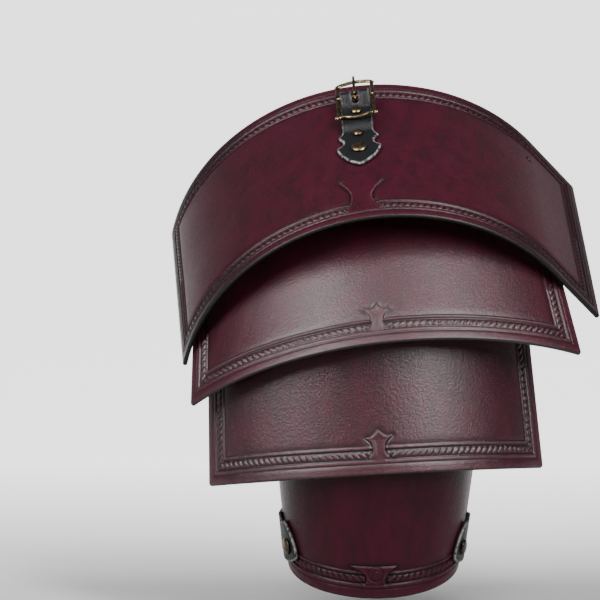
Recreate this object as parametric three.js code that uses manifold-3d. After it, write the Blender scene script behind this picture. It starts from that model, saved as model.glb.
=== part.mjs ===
// A leather pauldron: an arched top plate, two lames and an upper arm cuff of tooled leather,
// hung one under the other on inner straps, with a buckle tab at the top and a strap round the arm.
// Millimetres, +Z up, front towards -Y. The origin is the seat under the top plate, on the shoulder.
import * as THREE from 'three';
import { mergeVertices } from 'three/addons/utils/BufferGeometryUtils.js';
import Module from 'manifold-3d';

const wasm = await Module();
wasm.setup();

// Driving dimensions
const LEATHER = 3;
const STRAP_LEATHER = 2.4;
const STRAP_WIDTH = 20.2;
const CLEARANCE = 0.3;
const BEND_STEP = 4.2;

// Each plate is a rolled sheet: its straight rulings lean back from the vertical (lean), roll in the
// front view (roll) and turn about themselves (turn). Across, it bends with its own radius on each
// side over an arc in degrees and then runs straight. `at` is the middle of its lower edge, measured
// from the cuff's lower level. Taper widens it upwards, per mm. The rises and drops bow its lower and
// upper edges, in mm at 100 mm from the middle.
const PLATES = {
  top: {
    at: [-1.4, 27.5, 250.2], lean: 57, roll: 6.3, turn: 0,
    leftRadius: 141, leftArc: 74, rightRadius: 138, rightArc: 55.5,
    halfLength: 182.5, height: 160, taper: 0.0002, lowerRise: 0, leftDrop: 0, rightDrop: 0,
  },
  second: {
    at: [-1, 4.5, 170.7], lean: 36, roll: 5.5, turn: 2.8,
    leftRadius: 169, leftArc: 80, rightRadius: 188, rightArc: 80,
    halfLength: 144, height: 112, taper: -0.00073, lowerRise: 2.5, leftDrop: 24, rightDrop: 21.5,
  },
  third: {
    at: [0.7, 10, 86.6], lean: 9, roll: 3.2, turn: 1.6,
    leftRadius: 141, leftArc: 80, rightRadius: 123, rightArc: 55,
    halfLength: 130, height: 95, taper: -0.0004, lowerRise: 0.6, leftDrop: 0, rightDrop: 0,
  },
  cuff: {
    at: [-4.6, 33, 3.6], lean: -9.5, roll: -0.5, turn: 3.7,
    leftRadius: 55.8, leftArc: 110, rightRadius: 55.8, rightArc: 110,
    halfLength: 102, height: 98, taper: 0.0022, lowerRise: 9.2, leftDrop: 0, rightDrop: 0,
  },
};

// Two lacing holes near the top plate's upper edge: distance across and height on the plate.
const LACING_HOLES = [[-132, 142.4], [125.7, 128.6]];
const LACING_HOLE_RADIUS = 1.9;

// Buckle tab, folded round the buckle's centre bar. Heights run up the top plate from its lower edge,
// distances across run from the plate's middle, and stand-offs run outwards from its outer face.
const TAB = {
  tip: 59.5, tipAcross: -4.7, stepStart: 99.2, backEnd: 104.5, seamEnd: 123.2, bar: 132.6, barAcross: -2,
  barStandOff: 8, foldReach: 6.5, foldDrop: 1.3, foldFrom: 129, foldTo: -75, foldSteps: 8, backGap: 0.4,
};
// The buckle's rods: radii, and points they run through in the buckle's own frame. The frame is turned
// on the plate, canted to one side and lifted a little, in degrees.
const BUCKLE = {
  barRadius: 1.6, sideRadius: 1.2, halfWidth: 11.7, turn: 2, cant: 5, lift: 1.2,
  side: [[11.7, 15, 0], [12, 0, 0], [11.9, -22.6, 0]],
  top: [[-12.5, 14.5, 0], [-5.85, 17.3, 0], [0, 18, 0], [5.85, 17.3, 0], [12.5, 14.5, 0]],
  bottom: [[-13.7, -24, 0.6], [-8.2, -22.5, 0.2], [0, -24.4, 0], [8.2, -22.5, 0.2], [13.7, -24, 0.6]],
};
// The tongue's wire: it wraps round the bar between two angles, lies on the top bar and ends past it.
const TONGUE = {
  radius: 1, wrapFrom: -200, wrapTo: 88, wrapSteps: 9,
  bowAt: 6.3, bowGap: 0.1, rest: 18, restGap: 0.15, tip: 20.6,
};
// The slot in the tab for the tongue: its reach below the bar, and above it over the fold.
const SLOT = { width: 4.2, below: 7.2, above: 10.1 };
// Half-widths of the shield end, by distance from its tip.
const SHIELD = [
  { from: 0, half: 1.2 }, { from: 4, half: 6.3 }, { from: 11, half: 11.2 }, { from: 17, half: 13.5 },
  { from: 21.5, half: 14 }, { from: 23.8, half: 11.3 }, { from: 27.3, half: 10 }, { from: 30.5, half: 11.6 },
  { from: 33.5, half: 13 }, { from: 36, half: 11.2 }, { from: 40.5, half: STRAP_WIDTH / 2 },
];

// Rivets: head radius and height, shank radius, and the radius and thickness of the closed tail.
const RIVETS = {
  large: { head: 5.3, rise: 1.9, shank: 1.8, tail: 3.6, tailRise: 1 },
  medium: { head: 3.7, rise: 1.8, shank: 1.5, tail: 3, tailRise: 1 },
  small: { head: 3.4, rise: 1.8, shank: 1.5, tail: 3, tailRise: 1 },
  hidden: { head: 4, rise: 1.4, shank: 1.5, tail: 3.2, tailRise: 1, segments: 8 },
};
const RIVET_SEGMENTS = 12;
const RIVET_HOLE_CLEARANCE = 0.4;
const DRILL_DEPTH = 40;
const TAB_RIVETS = [
  { name: 'tab_rivet_upper', kind: 'medium', at: 119, layers: 2 },
  { name: 'tab_rivet_small', kind: 'small', at: 95.4, layers: 1 },
  { name: 'tab_rivet_large', kind: 'large', at: 78, layers: 1 },
];

// Inner hanger straps. Each leg lies on one plate's inner face, from one height down to another, at a
// distance across; riveted names the height of its rivet. Between plates a strap clears the next upper
// edge by "over", comes down in the gap by "dip" and joins the leg "lead" below its start.
const HANGERS = [
  { name: 'hanger_strap_centre', legs: [
    { plate: 'top', across: -3, from: 128, to: 36 },
    { plate: 'second', across: 2, from: 108, to: 26, riveted: 104.5 },
    { plate: 'third', across: 1, from: 92, to: 24, riveted: 89.2 },
    { plate: 'cuff', across: 3, from: 95, to: 82, riveted: 91 },
  ] },
  { name: 'hanger_strap_left', legs: [
    { plate: 'second', across: -44, from: 103, to: 30, riveted: 99.5 },
    { plate: 'third', across: -40, from: 92, to: 30, riveted: 89.2 },
    { plate: 'cuff', across: -36, from: 95, to: 82, riveted: 91 },
  ] },
  { name: 'hanger_strap_right', legs: [
    { plate: 'second', across: 46, from: 104, to: 30, riveted: 100.5 },
    { plate: 'third', across: 42, from: 92, to: 30, riveted: 89.2 },
    { plate: 'cuff', across: 40, from: 95, to: 82, riveted: 91 },
  ] },
];
const HANGER = { halfWidth: 9, over: 2.5, dip: 2, lead: 4, step: 30 };

// The arm strap lies round the cuff, with the shield end of each side tab to the front. Each end rises
// from its tip, steadily at first (climb, as rise over run), and is level from a length round the cuff.
// Angles are measured round the cuff from the middle of its front.
const ARM = {
  tipHeight: 18.6, climb: 0.49, steadyTo: 8, levelFrom: 34,
  leftTip: -54.5, rightTip: 63.5, raisedFrom: 148, lapEnd: 200, rivetFromTip: 10.6, steps: 17,
  claspWidth: 26, claspLength: 12, claspAt: 180, claspWall: 1.6,
};

// The seat: on the inner face of the top plate, over the shoulder.
const SEAT = { across: -3, height: 100 };

const COLOURS = {
  oxblood: { color: 0x4a1420, roughness: 0.5, metalness: 0 },
  black: { color: 0x1b1c20, roughness: 0.45, metalness: 0 },
  brass: { color: 0x8a7448, roughness: 0.4, metalness: 1 },
};

const radians = THREE.MathUtils.degToRad;

// Plate surfaces

function plateAxes(plate) {
  const lean = radians(plate.lean);
  const turn = radians(plate.turn);
  const along = new THREE.Vector3(0, Math.sin(lean), Math.cos(lean));
  const out = new THREE.Vector3(0, -Math.cos(lean), Math.sin(lean));
  const across = new THREE.Vector3(1, 0, 0);
  const turnedOut = out.clone().multiplyScalar(Math.cos(turn)).addScaledVector(across, -Math.sin(turn));
  const turnedAcross = across.clone().multiplyScalar(Math.cos(turn)).addScaledVector(out, Math.sin(turn));
  const roll = new THREE.Matrix4().makeRotationY(-radians(plate.roll));
  return {
    origin: new THREE.Vector3(...plate.at),
    across: turnedAcross.applyMatrix4(roll),
    along: along.applyMatrix4(roll),
    out: turnedOut.applyMatrix4(roll),
  };
}

// The bent section: sideways and inward distance at a length s from the middle, and its slope angle.
function sectionAt(plate, s) {
  const side = Math.sign(s);
  const radius = s < 0 ? plate.leftRadius : plate.rightRadius;
  const arc = radians(s < 0 ? plate.leftArc : plate.rightArc);
  const length = Math.abs(s);
  const slope = Math.min(length / radius, arc);
  const straight = Math.max(length - radius * arc, 0);
  const sideways = radius * Math.sin(slope) + straight * Math.cos(slope);
  const inward = radius * (1 - Math.cos(slope)) + straight * Math.sin(slope);
  return { sideways: side * sideways, inward, slope: side * slope };
}

// The directions of a plate at length s: across it, up its ruling, and outwards.
function plateDirections(plate, s) {
  const { across, along, out } = plateAxes(plate);
  const { sideways, inward, slope } = sectionAt(plate, s);
  const tangent = across.clone().multiplyScalar(Math.cos(slope)).addScaledVector(out, -Math.sin(slope));
  const ruling = along.clone()
    .addScaledVector(across, plate.taper * sideways)
    .addScaledVector(out, -plate.taper * inward)
    .normalize();
  return { tangent, ruling, normal: tangent.clone().cross(ruling).normalize() };
}

const plateNormal = (plate, s) => plateDirections(plate, s).normal;

// A point on a plate at length s across and height v, set in from the outer face.
function platePoint(plate, s, v, inset = 0) {
  const { origin, across, along, out } = plateAxes(plate);
  const { sideways, inward } = sectionAt(plate, s);
  const scale = 1 + plate.taper * v;
  return origin.clone()
    .addScaledVector(across, scale * sideways)
    .addScaledVector(out, -scale * inward)
    .addScaledVector(along, v)
    .addScaledVector(plateNormal(plate, s), -inset);
}

const lowerEdge = (plate, s) => plate.lowerRise * (s / 100) ** 2;
const upperEdge = (plate, s) => plate.height - (s < 0 ? plate.leftDrop : plate.rightDrop) * (s / 100) ** 2;

// Solids

// A closed sheet between two faces of points, as rows of { outer, inner } pairs.
function sheetGeometry(rows) {
  const rowCount = rows.length;
  const columnCount = rows[0].length;
  const positions = [];
  const indices = [];
  for (const face of ['outer', 'inner']) {
    for (const row of rows) {
      for (const pair of row) {
        positions.push(pair[face].x, pair[face].y, pair[face].z);
      }
    }
  }
  const at = (face, i, j) => face * rowCount * columnCount + i * columnCount + j;
  const quad = (a, b, c, d) => indices.push(a, b, c, a, c, d);
  for (let i = 0; i < rowCount - 1; i++) {
    for (let j = 0; j < columnCount - 1; j++) {
      quad(at(0, i, j), at(0, i, j + 1), at(0, i + 1, j + 1), at(0, i + 1, j));
      quad(at(1, i, j), at(1, i + 1, j), at(1, i + 1, j + 1), at(1, i, j + 1));
    }
  }
  const last = { i: rowCount - 1, j: columnCount - 1 };
  for (let j = 0; j < last.j; j++) {
    quad(at(0, 0, j + 1), at(0, 0, j), at(1, 0, j), at(1, 0, j + 1));
    quad(at(0, last.i, j), at(0, last.i, j + 1), at(1, last.i, j + 1), at(1, last.i, j));
  }
  for (let i = 0; i < last.i; i++) {
    quad(at(0, i, 0), at(0, i + 1, 0), at(1, i + 1, 0), at(1, i, 0));
    quad(at(0, i + 1, last.j), at(0, i, last.j), at(1, i, last.j), at(1, i + 1, last.j));
  }
  const geometry = new THREE.BufferGeometry();
  geometry.setAttribute('position', new THREE.Float32BufferAttribute(positions, 3));
  geometry.setIndex(volumeOf(positions, indices) < 0 ? flipped(indices) : indices);
  return geometry;
}

function volumeOf(positions, indices) {
  const point = (i) => new THREE.Vector3(positions[3 * i], positions[3 * i + 1], positions[3 * i + 2]);
  let sum = 0;
  for (let k = 0; k < indices.length; k += 3) {
    const [a, b, c] = [point(indices[k]), point(indices[k + 1]), point(indices[k + 2])];
    sum += a.dot(b.cross(c));
  }
  return sum / 6;
}

function flipped(indices) {
  const turned = [];
  for (let k = 0; k < indices.length; k += 3) {
    turned.push(indices[k], indices[k + 2], indices[k + 1]);
  }
  return turned;
}

function bare(geometry) {
  const copy = geometry.clone();
  copy.deleteAttribute('normal');
  copy.deleteAttribute('uv');
  return mergeVertices(copy, 1e-4);
}

function solidOf(geometry) {
  const merged = bare(geometry);
  return new wasm.Manifold(new wasm.Mesh({
    numProp: 3,
    vertProperties: new Float32Array(merged.attributes.position.array),
    triVerts: new Uint32Array(merged.index.array),
  }));
}

function geometryOf(solid) {
  const mesh = solid.getMesh();
  const positions = [];
  for (let i = 0; i < mesh.vertProperties.length; i += mesh.numProp) {
    positions.push(mesh.vertProperties[i], mesh.vertProperties[i + 1], mesh.vertProperties[i + 2]);
  }
  const geometry = new THREE.BufferGeometry();
  geometry.setAttribute('position', new THREE.Float32BufferAttribute(positions, 3));
  geometry.setIndex(Array.from(mesh.triVerts));
  return geometry;
}

function cut(geometry, tools) {
  let solid = solidOf(geometry);
  for (const tool of tools) {
    solid = solid.subtract(solidOf(tool));
  }
  return geometryOf(solid);
}

function joined(geometries) {
  let solid = solidOf(geometries[0]);
  for (const geometry of geometries.slice(1)) {
    solid = solid.add(solidOf(geometry));
  }
  return geometryOf(solid);
}

// Turns a shape made along +Y so that +Y follows a direction, and moves it to a point.
function aimed(geometry, direction, point) {
  const turn = new THREE.Quaternion().setFromUnitVectors(new THREE.Vector3(0, 1, 0), direction);
  geometry.applyQuaternion(turn);
  geometry.translate(point.x, point.y, point.z);
  return geometry;
}

function drill(point, direction, radius) {
  return aimed(new THREE.CylinderGeometry(radius, radius, DRILL_DEPTH, RIVET_SEGMENTS), direction, point);
}

// A rivet on a plate: from its domed head, over the layers outside, to its tail inside the plate.
function rivetGeometry(kind, outerStack, innerStack) {
  const { head, rise, shank, tail, tailRise, segments = RIVET_SEGMENTS } = RIVETS[kind];
  const seat = outerStack + CLEARANCE;
  const foot = -(innerStack + CLEARANCE);
  const profile = [
    [0, foot - tailRise], [tail, foot - tailRise], [tail, foot], [shank, foot],
    [shank, seat], [head, seat], [head * 0.8, seat + rise * 0.65], [0, seat + rise],
  ];
  return new THREE.LatheGeometry(profile.map(([r, y]) => new THREE.Vector2(r, y)), segments);
}

function placeRivet(kind, plate, s, v, outerStack, innerStack) {
  return aimed(rivetGeometry(kind, outerStack, innerStack), plateNormal(plate, s), platePoint(plate, s, v));
}

function rivetHole(kind, plate, s, v) {
  const radius = RIVETS[kind].shank + RIVET_HOLE_CLEARANCE;
  return drill(platePoint(plate, s, v), plateNormal(plate, s), radius);
}

// The four plates

function plateGeometry(plate, holes) {
  const widest = Math.max(plate.leftRadius, plate.rightRadius);
  const columns = 2 * Math.ceil(plate.halfLength / (widest * radians(BEND_STEP)));
  const rows = [lowerEdge, upperEdge].map((edge) => {
    const row = [];
    for (let j = 0; j <= columns; j++) {
      const s = plate.halfLength * (2 * j / columns - 1);
      const v = edge(plate, s);
      row.push({ outer: platePoint(plate, s, v), inner: platePoint(plate, s, v, LEATHER) });
    }
    return row;
  });
  return cut(sheetGeometry(rows), holes);
}

// Straps

// A station of a strap on a plate: its half-width, and the strap's middle and sideways direction at a
// distance aside from its centre line. The stand-off runs from the plate's outer face.
function stationOn(plate, across, height, standOff, half) {
  return {
    half,
    point: (aside) => platePoint(plate, across + aside, height, -standOff),
    sideways: (aside) => plateDirections(plate, across + aside).tangent,
  };
}

// A ribbon of leather through stations.
function ribbonGeometry(stations, columns = 2) {
  const middle = stations.map((station) => station.point(0));
  const rows = stations.map((station, i) => {
    const before = middle[Math.max(i - 1, 0)];
    const after = middle[Math.min(i + 1, middle.length - 1)];
    const heading = after.clone().sub(before).normalize();
    const row = [];
    for (let j = 0; j <= columns; j++) {
      const aside = station.half * (2 * j / columns - 1);
      const point = station.point(aside);
      const normal = station.sideways(aside).cross(heading).normalize().multiplyScalar(STRAP_LEATHER / 2);
      row.push({ outer: point.clone().add(normal), inner: point.clone().sub(normal) });
    }
    return row;
  });
  return sheetGeometry(rows);
}

// A hanger strap: each leg lies on the inner face, and between plates it passes over the next top edge.
function hangerStations(legs) {
  const lying = -(LEATHER + CLEARANCE + STRAP_LEATHER / 2);
  const stations = [];
  legs.forEach((leg, index) => {
    const plate = PLATES[leg.plate];
    const top = upperEdge(plate, leg.across);
    const station = (height, standOff = lying) => (
      stationOn(plate, leg.across, height, standOff, HANGER.halfWidth)
    );
    if (index > 0) {
      stations.push(station(top + HANGER.over), station((top + leg.from) / 2 - HANGER.dip));
    }
    const steps = Math.max(1, Math.round((leg.from - leg.to) / HANGER.step));
    for (let k = 0; k <= steps; k++) {
      stations.push(station(THREE.MathUtils.lerp(leg.from - HANGER.lead, leg.to, k / steps)));
    }
  });
  return stations;
}

function hangerGeometry(hanger) {
  const holes = [];
  for (const leg of hanger.legs) {
    if (leg.riveted) {
      holes.push(rivetHole('hidden', PLATES[leg.plate], leg.across, leg.riveted));
    }
  }
  if (hanger.legs[0].plate === 'top') {
    holes.push(...TAB_RIVETS.map(tabRivetHole));
  }
  return cut(ribbonGeometry(hangerStations(hanger.legs)), holes);
}

function shieldHalf(distance) {
  for (let k = 1; k < SHIELD.length; k++) {
    const [before, after] = [SHIELD[k - 1], SHIELD[k]];
    if (distance <= after.from) {
      return THREE.MathUtils.mapLinear(distance, before.from, after.from, before.half, after.half);
    }
  }
  return STRAP_WIDTH / 2;
}

// The tab's middle runs straight from its bar to its tip, a little turned from the plate's rulings.
function tabAcross(height) {
  return THREE.MathUtils.mapLinear(height, TAB.tip, TAB.bar, TAB.tipAcross, TAB.barAcross);
}

// The buckle tab's side view, as heights and stand-offs of the middle of the leather. It lies flat
// under its shield, rises over its own back layer, and turns round the bar, canted as the bar is.
function tabStations() {
  const flat = CLEARANCE + STRAP_LEATHER / 2;
  const upper = flat + STRAP_LEATHER + CLEARANCE;
  const turn = BUCKLE.barRadius + CLEARANCE + STRAP_LEATHER / 2;
  const matrix = buckleMatrix();
  const stations = [];
  const lay = (height, standOff, half = STRAP_WIDTH / 2) => (
    stations.push(stationOn(PLATES.top, tabAcross(height), height, standOff, half))
  );
  const fold = (y, z) => stations.push({
    half: STRAP_WIDTH / 2,
    point: (aside) => new THREE.Vector3(aside, y, z).applyMatrix4(matrix),
    sideways: () => new THREE.Vector3(1, 0, 0).transformDirection(matrix),
  });
  for (const { from, half } of SHIELD) {
    const height = TAB.tip + from;
    const step = THREE.MathUtils.smoothstep(height, TAB.stepStart, TAB.backEnd);
    lay(height, THREE.MathUtils.lerp(flat, upper, step), half);
  }
  lay(TAB.backEnd, upper);
  lay(TAB.seamEnd, upper);
  fold(-TAB.foldReach, -TAB.foldDrop);
  for (let k = 0; k <= TAB.foldSteps; k++) {
    const angle = radians(THREE.MathUtils.lerp(TAB.foldFrom, TAB.foldTo, k / TAB.foldSteps));
    fold(turn * Math.cos(angle), turn * Math.sin(angle));
  }
  lay(TAB.seamEnd, flat);
  lay((TAB.backEnd + TAB.seamEnd) / 2, flat);
  lay(TAB.backEnd + TAB.backGap, flat);
  return stations;
}

function tabRivetHole({ kind, at }) {
  return rivetHole(kind, PLATES.top, tabAcross(at), at);
}

function tabGeometry() {
  const end = SLOT.width / 2 - SLOT.below;
  const slot = new THREE.BoxGeometry(SLOT.width, SLOT.above - end, DRILL_DEPTH);
  slot.translate(0, (SLOT.above + end) / 2, 0);
  const roundEnd = new THREE.CylinderGeometry(SLOT.width / 2, SLOT.width / 2, DRILL_DEPTH, RIVET_SEGMENTS);
  roundEnd.rotateX(Math.PI / 2).translate(0, end, 0);
  const slots = [slot, roundEnd].map((tool) => tool.applyMatrix4(buckleMatrix()));
  return cut(ribbonGeometry(tabStations()), [...TAB_RIVETS.map(tabRivetHole), ...slots]);
}

// Buckle

// The buckle's own frame: x along its bar, y up towards the top bar and z outwards.
function buckleMatrix() {
  const { tangent, ruling, normal } = plateDirections(PLATES.top, TAB.barAcross);
  const bar = platePoint(PLATES.top, TAB.barAcross, TAB.bar, -TAB.barStandOff);
  const pose = new THREE.Euler(radians(BUCKLE.lift), -radians(BUCKLE.cant), -radians(BUCKLE.turn), 'ZYX');
  return new THREE.Matrix4().makeTranslation(bar.x, bar.y, bar.z)
    .multiply(new THREE.Matrix4().makeBasis(tangent, ruling, normal))
    .multiply(new THREE.Matrix4().makeRotationFromEuler(pose));
}

function rod(points, radius, steps, sides = 8) {
  const curve = new THREE.CatmullRomCurve3(points.map((p) => new THREE.Vector3(...p)), false, 'centripetal');
  const section = new THREE.Shape();
  for (let k = 0; k < sides; k++) {
    const angle = 2 * Math.PI * k / sides;
    const [x, y] = [radius * Math.cos(angle), radius * Math.sin(angle)];
    if (k === 0) {
      section.moveTo(x, y);
    } else {
      section.lineTo(x, y);
    }
  }
  section.closePath();
  return new THREE.ExtrudeGeometry(section, { steps, extrudePath: curve });
}

function buckleGeometry() {
  const { halfWidth, barRadius, sideRadius, side, top, bottom } = BUCKLE;
  const bar = rod([[-halfWidth, 0, 0], [0, 0, 0], [halfWidth, 0, 0]], barRadius, 2);
  const sides = [-1, 1].map((sign) => rod(side.map(([x, y, z]) => [sign * x, y, z]), sideRadius, 4));
  const bars = [top, bottom].map((points) => rod(points, sideRadius, 8));
  return joined([bar, ...sides, ...bars]).applyMatrix4(buckleMatrix());
}

function tongueGeometry() {
  const { radius, wrapFrom, wrapTo, wrapSteps, bowAt, bowGap, restGap, rest, tip } = TONGUE;
  const wrap = BUCKLE.barRadius + CLEARANCE + radius;
  const lying = BUCKLE.sideRadius + CLEARANCE + radius;
  const points = [];
  for (let k = 0; k <= wrapSteps; k++) {
    const angle = radians(THREE.MathUtils.lerp(wrapFrom, wrapTo, k / wrapSteps));
    points.push([0, wrap * Math.cos(angle), wrap * Math.sin(angle)]);
  }
  points.push([0, bowAt, wrap + bowGap], [0, rest, lying + restGap], [0, tip, lying]);
  return rod(points, radius, 20, 6).applyMatrix4(buckleMatrix());
}

// Arm strap and side tabs, round the cuff

// The whole round that the cuff is a part of.
const ARM_ROUND = { ...PLATES.cuff, leftArc: 360, rightArc: 360 };

const armLength = (degrees) => ARM_ROUND.leftRadius * radians(degrees);
const armTip = (side) => (side < 0 ? ARM.leftTip : ARM.rightTip);

// Height and slope of the strap's middle at a length back from its tip.
function armClimb(length) {
  const { tipHeight, climb, steadyTo, levelFrom } = ARM;
  const eased = THREE.MathUtils.clamp(length - steadyTo, 0, levelFrom - steadyTo);
  const share = eased / (levelFrom - steadyTo);
  const height = tipHeight + climb * (Math.min(length, steadyTo) + eased * (1 - share / 2));
  return { height, slope: Math.atan(climb * (1 - share)) };
}

// A station of the strap on one side: the lengths run back from its tip.
function armStation(side, length, standOff, half) {
  const { height, slope } = armClimb(length);
  const across = armLength(armTip(side)) + side * length;
  const point = (aside, offset) => platePoint(
    ARM_ROUND, across - side * aside * Math.sin(slope), height + aside * Math.cos(slope), -offset,
  );
  return { point, standOff, half };
}

// A band round the arm through stations, with its width up the cuff.
function armBandGeometry(stations, holes) {
  const rows = stations.map(({ point, standOff, half }) => (
    [-1, -0.5, 0.5, 1].map((k) => ({
      outer: point(k * half, standOff + STRAP_LEATHER / 2),
      inner: point(k * half, standOff - STRAP_LEATHER / 2),
    }))
  ));
  return cut(sheetGeometry(rows), holes);
}

const ARM_FLAT = CLEARANCE + STRAP_LEATHER / 2;
const armRivet = (side) => ({
  across: armLength(armTip(side)) + side * ARM.rivetFromTip, height: armClimb(ARM.rivetFromTip).height,
});

function armRivetHole(side) {
  const { across, height } = armRivet(side);
  return rivetHole('large', PLATES.cuff, across, height);
}

// One side's strap, from its shield end to the lap, where the right one lies over the left.
function armStrapGeometry(side) {
  const raised = side < 0 ? ARM_FLAT : ARM_FLAT + STRAP_LEATHER + CLEARANCE;
  const stations = SHIELD.map(({ from, half }) => armStation(side, from, ARM_FLAT, half));
  const start = SHIELD.at(-1).from;
  const end = armLength(ARM.lapEnd - Math.abs(armTip(side)));
  const raisedFrom = armLength(ARM.raisedFrom - Math.abs(armTip(side)));
  for (let k = 1; k <= ARM.steps; k++) {
    const length = THREE.MathUtils.lerp(start, end, k / ARM.steps);
    stations.push(armStation(side, length, length < raisedFrom ? ARM_FLAT : raised, STRAP_WIDTH / 2));
  }
  return armBandGeometry(stations, [armRivetHole(side)]);
}

// A block that follows the round of the arm at the clasp, between two stand-offs.
function claspBlock(halfSpan, halfHeight, low, high) {
  const middle = armLength(ARM.claspAt);
  const { height } = armClimb(ARM.levelFrom);
  return sheetGeometry([-1, -0.5, 0, 0.5, 1].map((k) => [-1, 1].map((m) => ({
    outer: platePoint(ARM_ROUND, middle + k * halfSpan, height + m * halfHeight, -high),
    inner: platePoint(ARM_ROUND, middle + k * halfSpan, height + m * halfHeight, -low),
  }))));
}

// The clasp: a flat loop round both layers of the overlap.
function claspGeometry() {
  const { claspWidth, claspLength, claspWall } = ARM;
  const outer = 2 * STRAP_LEATHER + 3 * CLEARANCE;
  const body = claspBlock(claspLength / 2, claspWidth / 2, -claspWall, outer + claspWall);
  const window = claspBlock(claspLength / 2 + claspWall, STRAP_WIDTH / 2 + CLEARANCE, 0, outer);
  return cut(body, [window]);
}

// Assembly

const assembly = new THREE.Group();
const seat = platePoint(PLATES.top, SEAT.across, SEAT.height, LEATHER);
assembly.position.copy(seat).negate();

function addPiece(name, geometry, colour) {
  const mesh = new THREE.Mesh(geometry, new THREE.MeshStandardMaterial(COLOURS[colour]));
  mesh.name = name;
  assembly.add(mesh);
}

function hangerHolesOf(plateKey) {
  const holes = [];
  for (const hanger of HANGERS) {
    for (const leg of hanger.legs) {
      if (leg.plate === plateKey && leg.riveted) {
        holes.push(rivetHole('hidden', PLATES[plateKey], leg.across, leg.riveted));
      }
    }
  }
  return holes;
}

const topHoles = [
  ...LACING_HOLES.map(([s, v]) => (
    drill(platePoint(PLATES.top, s, v), plateNormal(PLATES.top, s), LACING_HOLE_RADIUS)
  )),
  ...TAB_RIVETS.map(tabRivetHole),
];
const cuffHoles = [-1, 1].map(armRivetHole);

addPiece('top_plate', plateGeometry(PLATES.top, topHoles), 'oxblood');
addPiece('second_lame', plateGeometry(PLATES.second, hangerHolesOf('second')), 'oxblood');
addPiece('third_lame', plateGeometry(PLATES.third, hangerHolesOf('third')), 'oxblood');
addPiece('arm_cuff', plateGeometry(PLATES.cuff, [...hangerHolesOf('cuff'), ...cuffHoles]), 'oxblood');

addPiece('buckle_tab', tabGeometry(), 'black');
addPiece('buckle_frame', buckleGeometry(), 'brass');
addPiece('buckle_tongue', tongueGeometry(), 'brass');
for (const { name, kind, at, layers } of TAB_RIVETS) {
  const outerStack = layers * (STRAP_LEATHER + CLEARANCE);
  const innerStack = LEATHER + CLEARANCE + STRAP_LEATHER;
  addPiece(name, placeRivet(kind, PLATES.top, tabAcross(at), at, outerStack, innerStack), 'brass');
}

for (const hanger of HANGERS) {
  addPiece(hanger.name, hangerGeometry(hanger), 'black');
  for (const leg of hanger.legs) {
    if (leg.riveted) {
      const name = `${hanger.name.replace('strap', 'rivet')}_${leg.plate}`;
      const innerStack = LEATHER + CLEARANCE + STRAP_LEATHER;
      const rivet = placeRivet('hidden', PLATES[leg.plate], leg.across, leg.riveted, 0, innerStack);
      addPiece(name, rivet, 'brass');
    }
  }
}

addPiece('arm_strap', armStrapGeometry(-1), 'black');
addPiece('arm_strap_tab', armStrapGeometry(1), 'black');
addPiece('strap_clasp', claspGeometry(), 'brass');
for (const [name, side] of [['side_rivet_left', -1], ['side_rivet_right', 1]]) {
  const outerStack = CLEARANCE + STRAP_LEATHER;
  const { across, height } = armRivet(side);
  const rivet = placeRivet('large', PLATES.cuff, across, height, outerStack, LEATHER);
  addPiece(name, rivet, 'brass');
}

export default assembly;
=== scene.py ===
"""The looks of a leather pauldron: four tooled plates, straps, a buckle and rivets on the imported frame."""

import logging
import math
from collections.abc import Callable, Sequence
from dataclasses import dataclass, replace
from enum import Enum

import bpy
import numpy as np
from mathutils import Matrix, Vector
from mathutils.geometry import delaunay_2d_cdt


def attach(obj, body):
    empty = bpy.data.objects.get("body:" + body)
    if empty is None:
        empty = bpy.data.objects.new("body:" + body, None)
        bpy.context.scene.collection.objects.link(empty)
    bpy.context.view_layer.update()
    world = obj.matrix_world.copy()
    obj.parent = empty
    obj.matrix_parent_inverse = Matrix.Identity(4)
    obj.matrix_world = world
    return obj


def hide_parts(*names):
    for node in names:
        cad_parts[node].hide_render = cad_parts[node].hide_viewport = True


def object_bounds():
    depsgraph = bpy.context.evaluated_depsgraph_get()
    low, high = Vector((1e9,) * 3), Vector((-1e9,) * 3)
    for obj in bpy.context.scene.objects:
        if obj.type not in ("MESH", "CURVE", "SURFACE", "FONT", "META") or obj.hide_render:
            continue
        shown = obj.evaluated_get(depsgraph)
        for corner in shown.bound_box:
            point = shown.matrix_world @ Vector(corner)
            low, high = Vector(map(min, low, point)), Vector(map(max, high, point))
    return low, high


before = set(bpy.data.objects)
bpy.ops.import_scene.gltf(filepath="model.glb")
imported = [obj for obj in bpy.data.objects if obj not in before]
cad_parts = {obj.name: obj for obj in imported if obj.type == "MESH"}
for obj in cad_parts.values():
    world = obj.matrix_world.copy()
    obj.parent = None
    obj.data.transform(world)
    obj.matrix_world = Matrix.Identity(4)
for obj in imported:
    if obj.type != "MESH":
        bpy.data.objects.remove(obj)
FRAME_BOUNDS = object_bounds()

LOG = logging.getLogger("pauldron")
MM = 0.001
TINY = 1e-12
FAR = 1e3
MERGE_DISTANCE = 1e-5
POINTS_AT_ONCE = 4000
ROW_SPACING = 0.87

Pair = tuple[float, float]
Triple = tuple[float, float, float]
Colour = Triple
Marks = dict[str, np.ndarray]
Tube = tuple[np.ndarray, list[tuple[int, ...]]]
Material = bpy.types.Material
Socket = bpy.types.NodeSocket


class Body(Enum):
    """The bodies of the frame that pieces ride on."""

    PLATES = "plates"
    BUCKLE = "buckle"
    TONGUE = "tongue"


class Slot(Enum):
    """The material slots of the record."""

    OXBLOOD = "oxblood_leather"
    BLACK = "black_leather"
    BRASS = "antique_brass"


# Sizes, in mm and degrees


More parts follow.
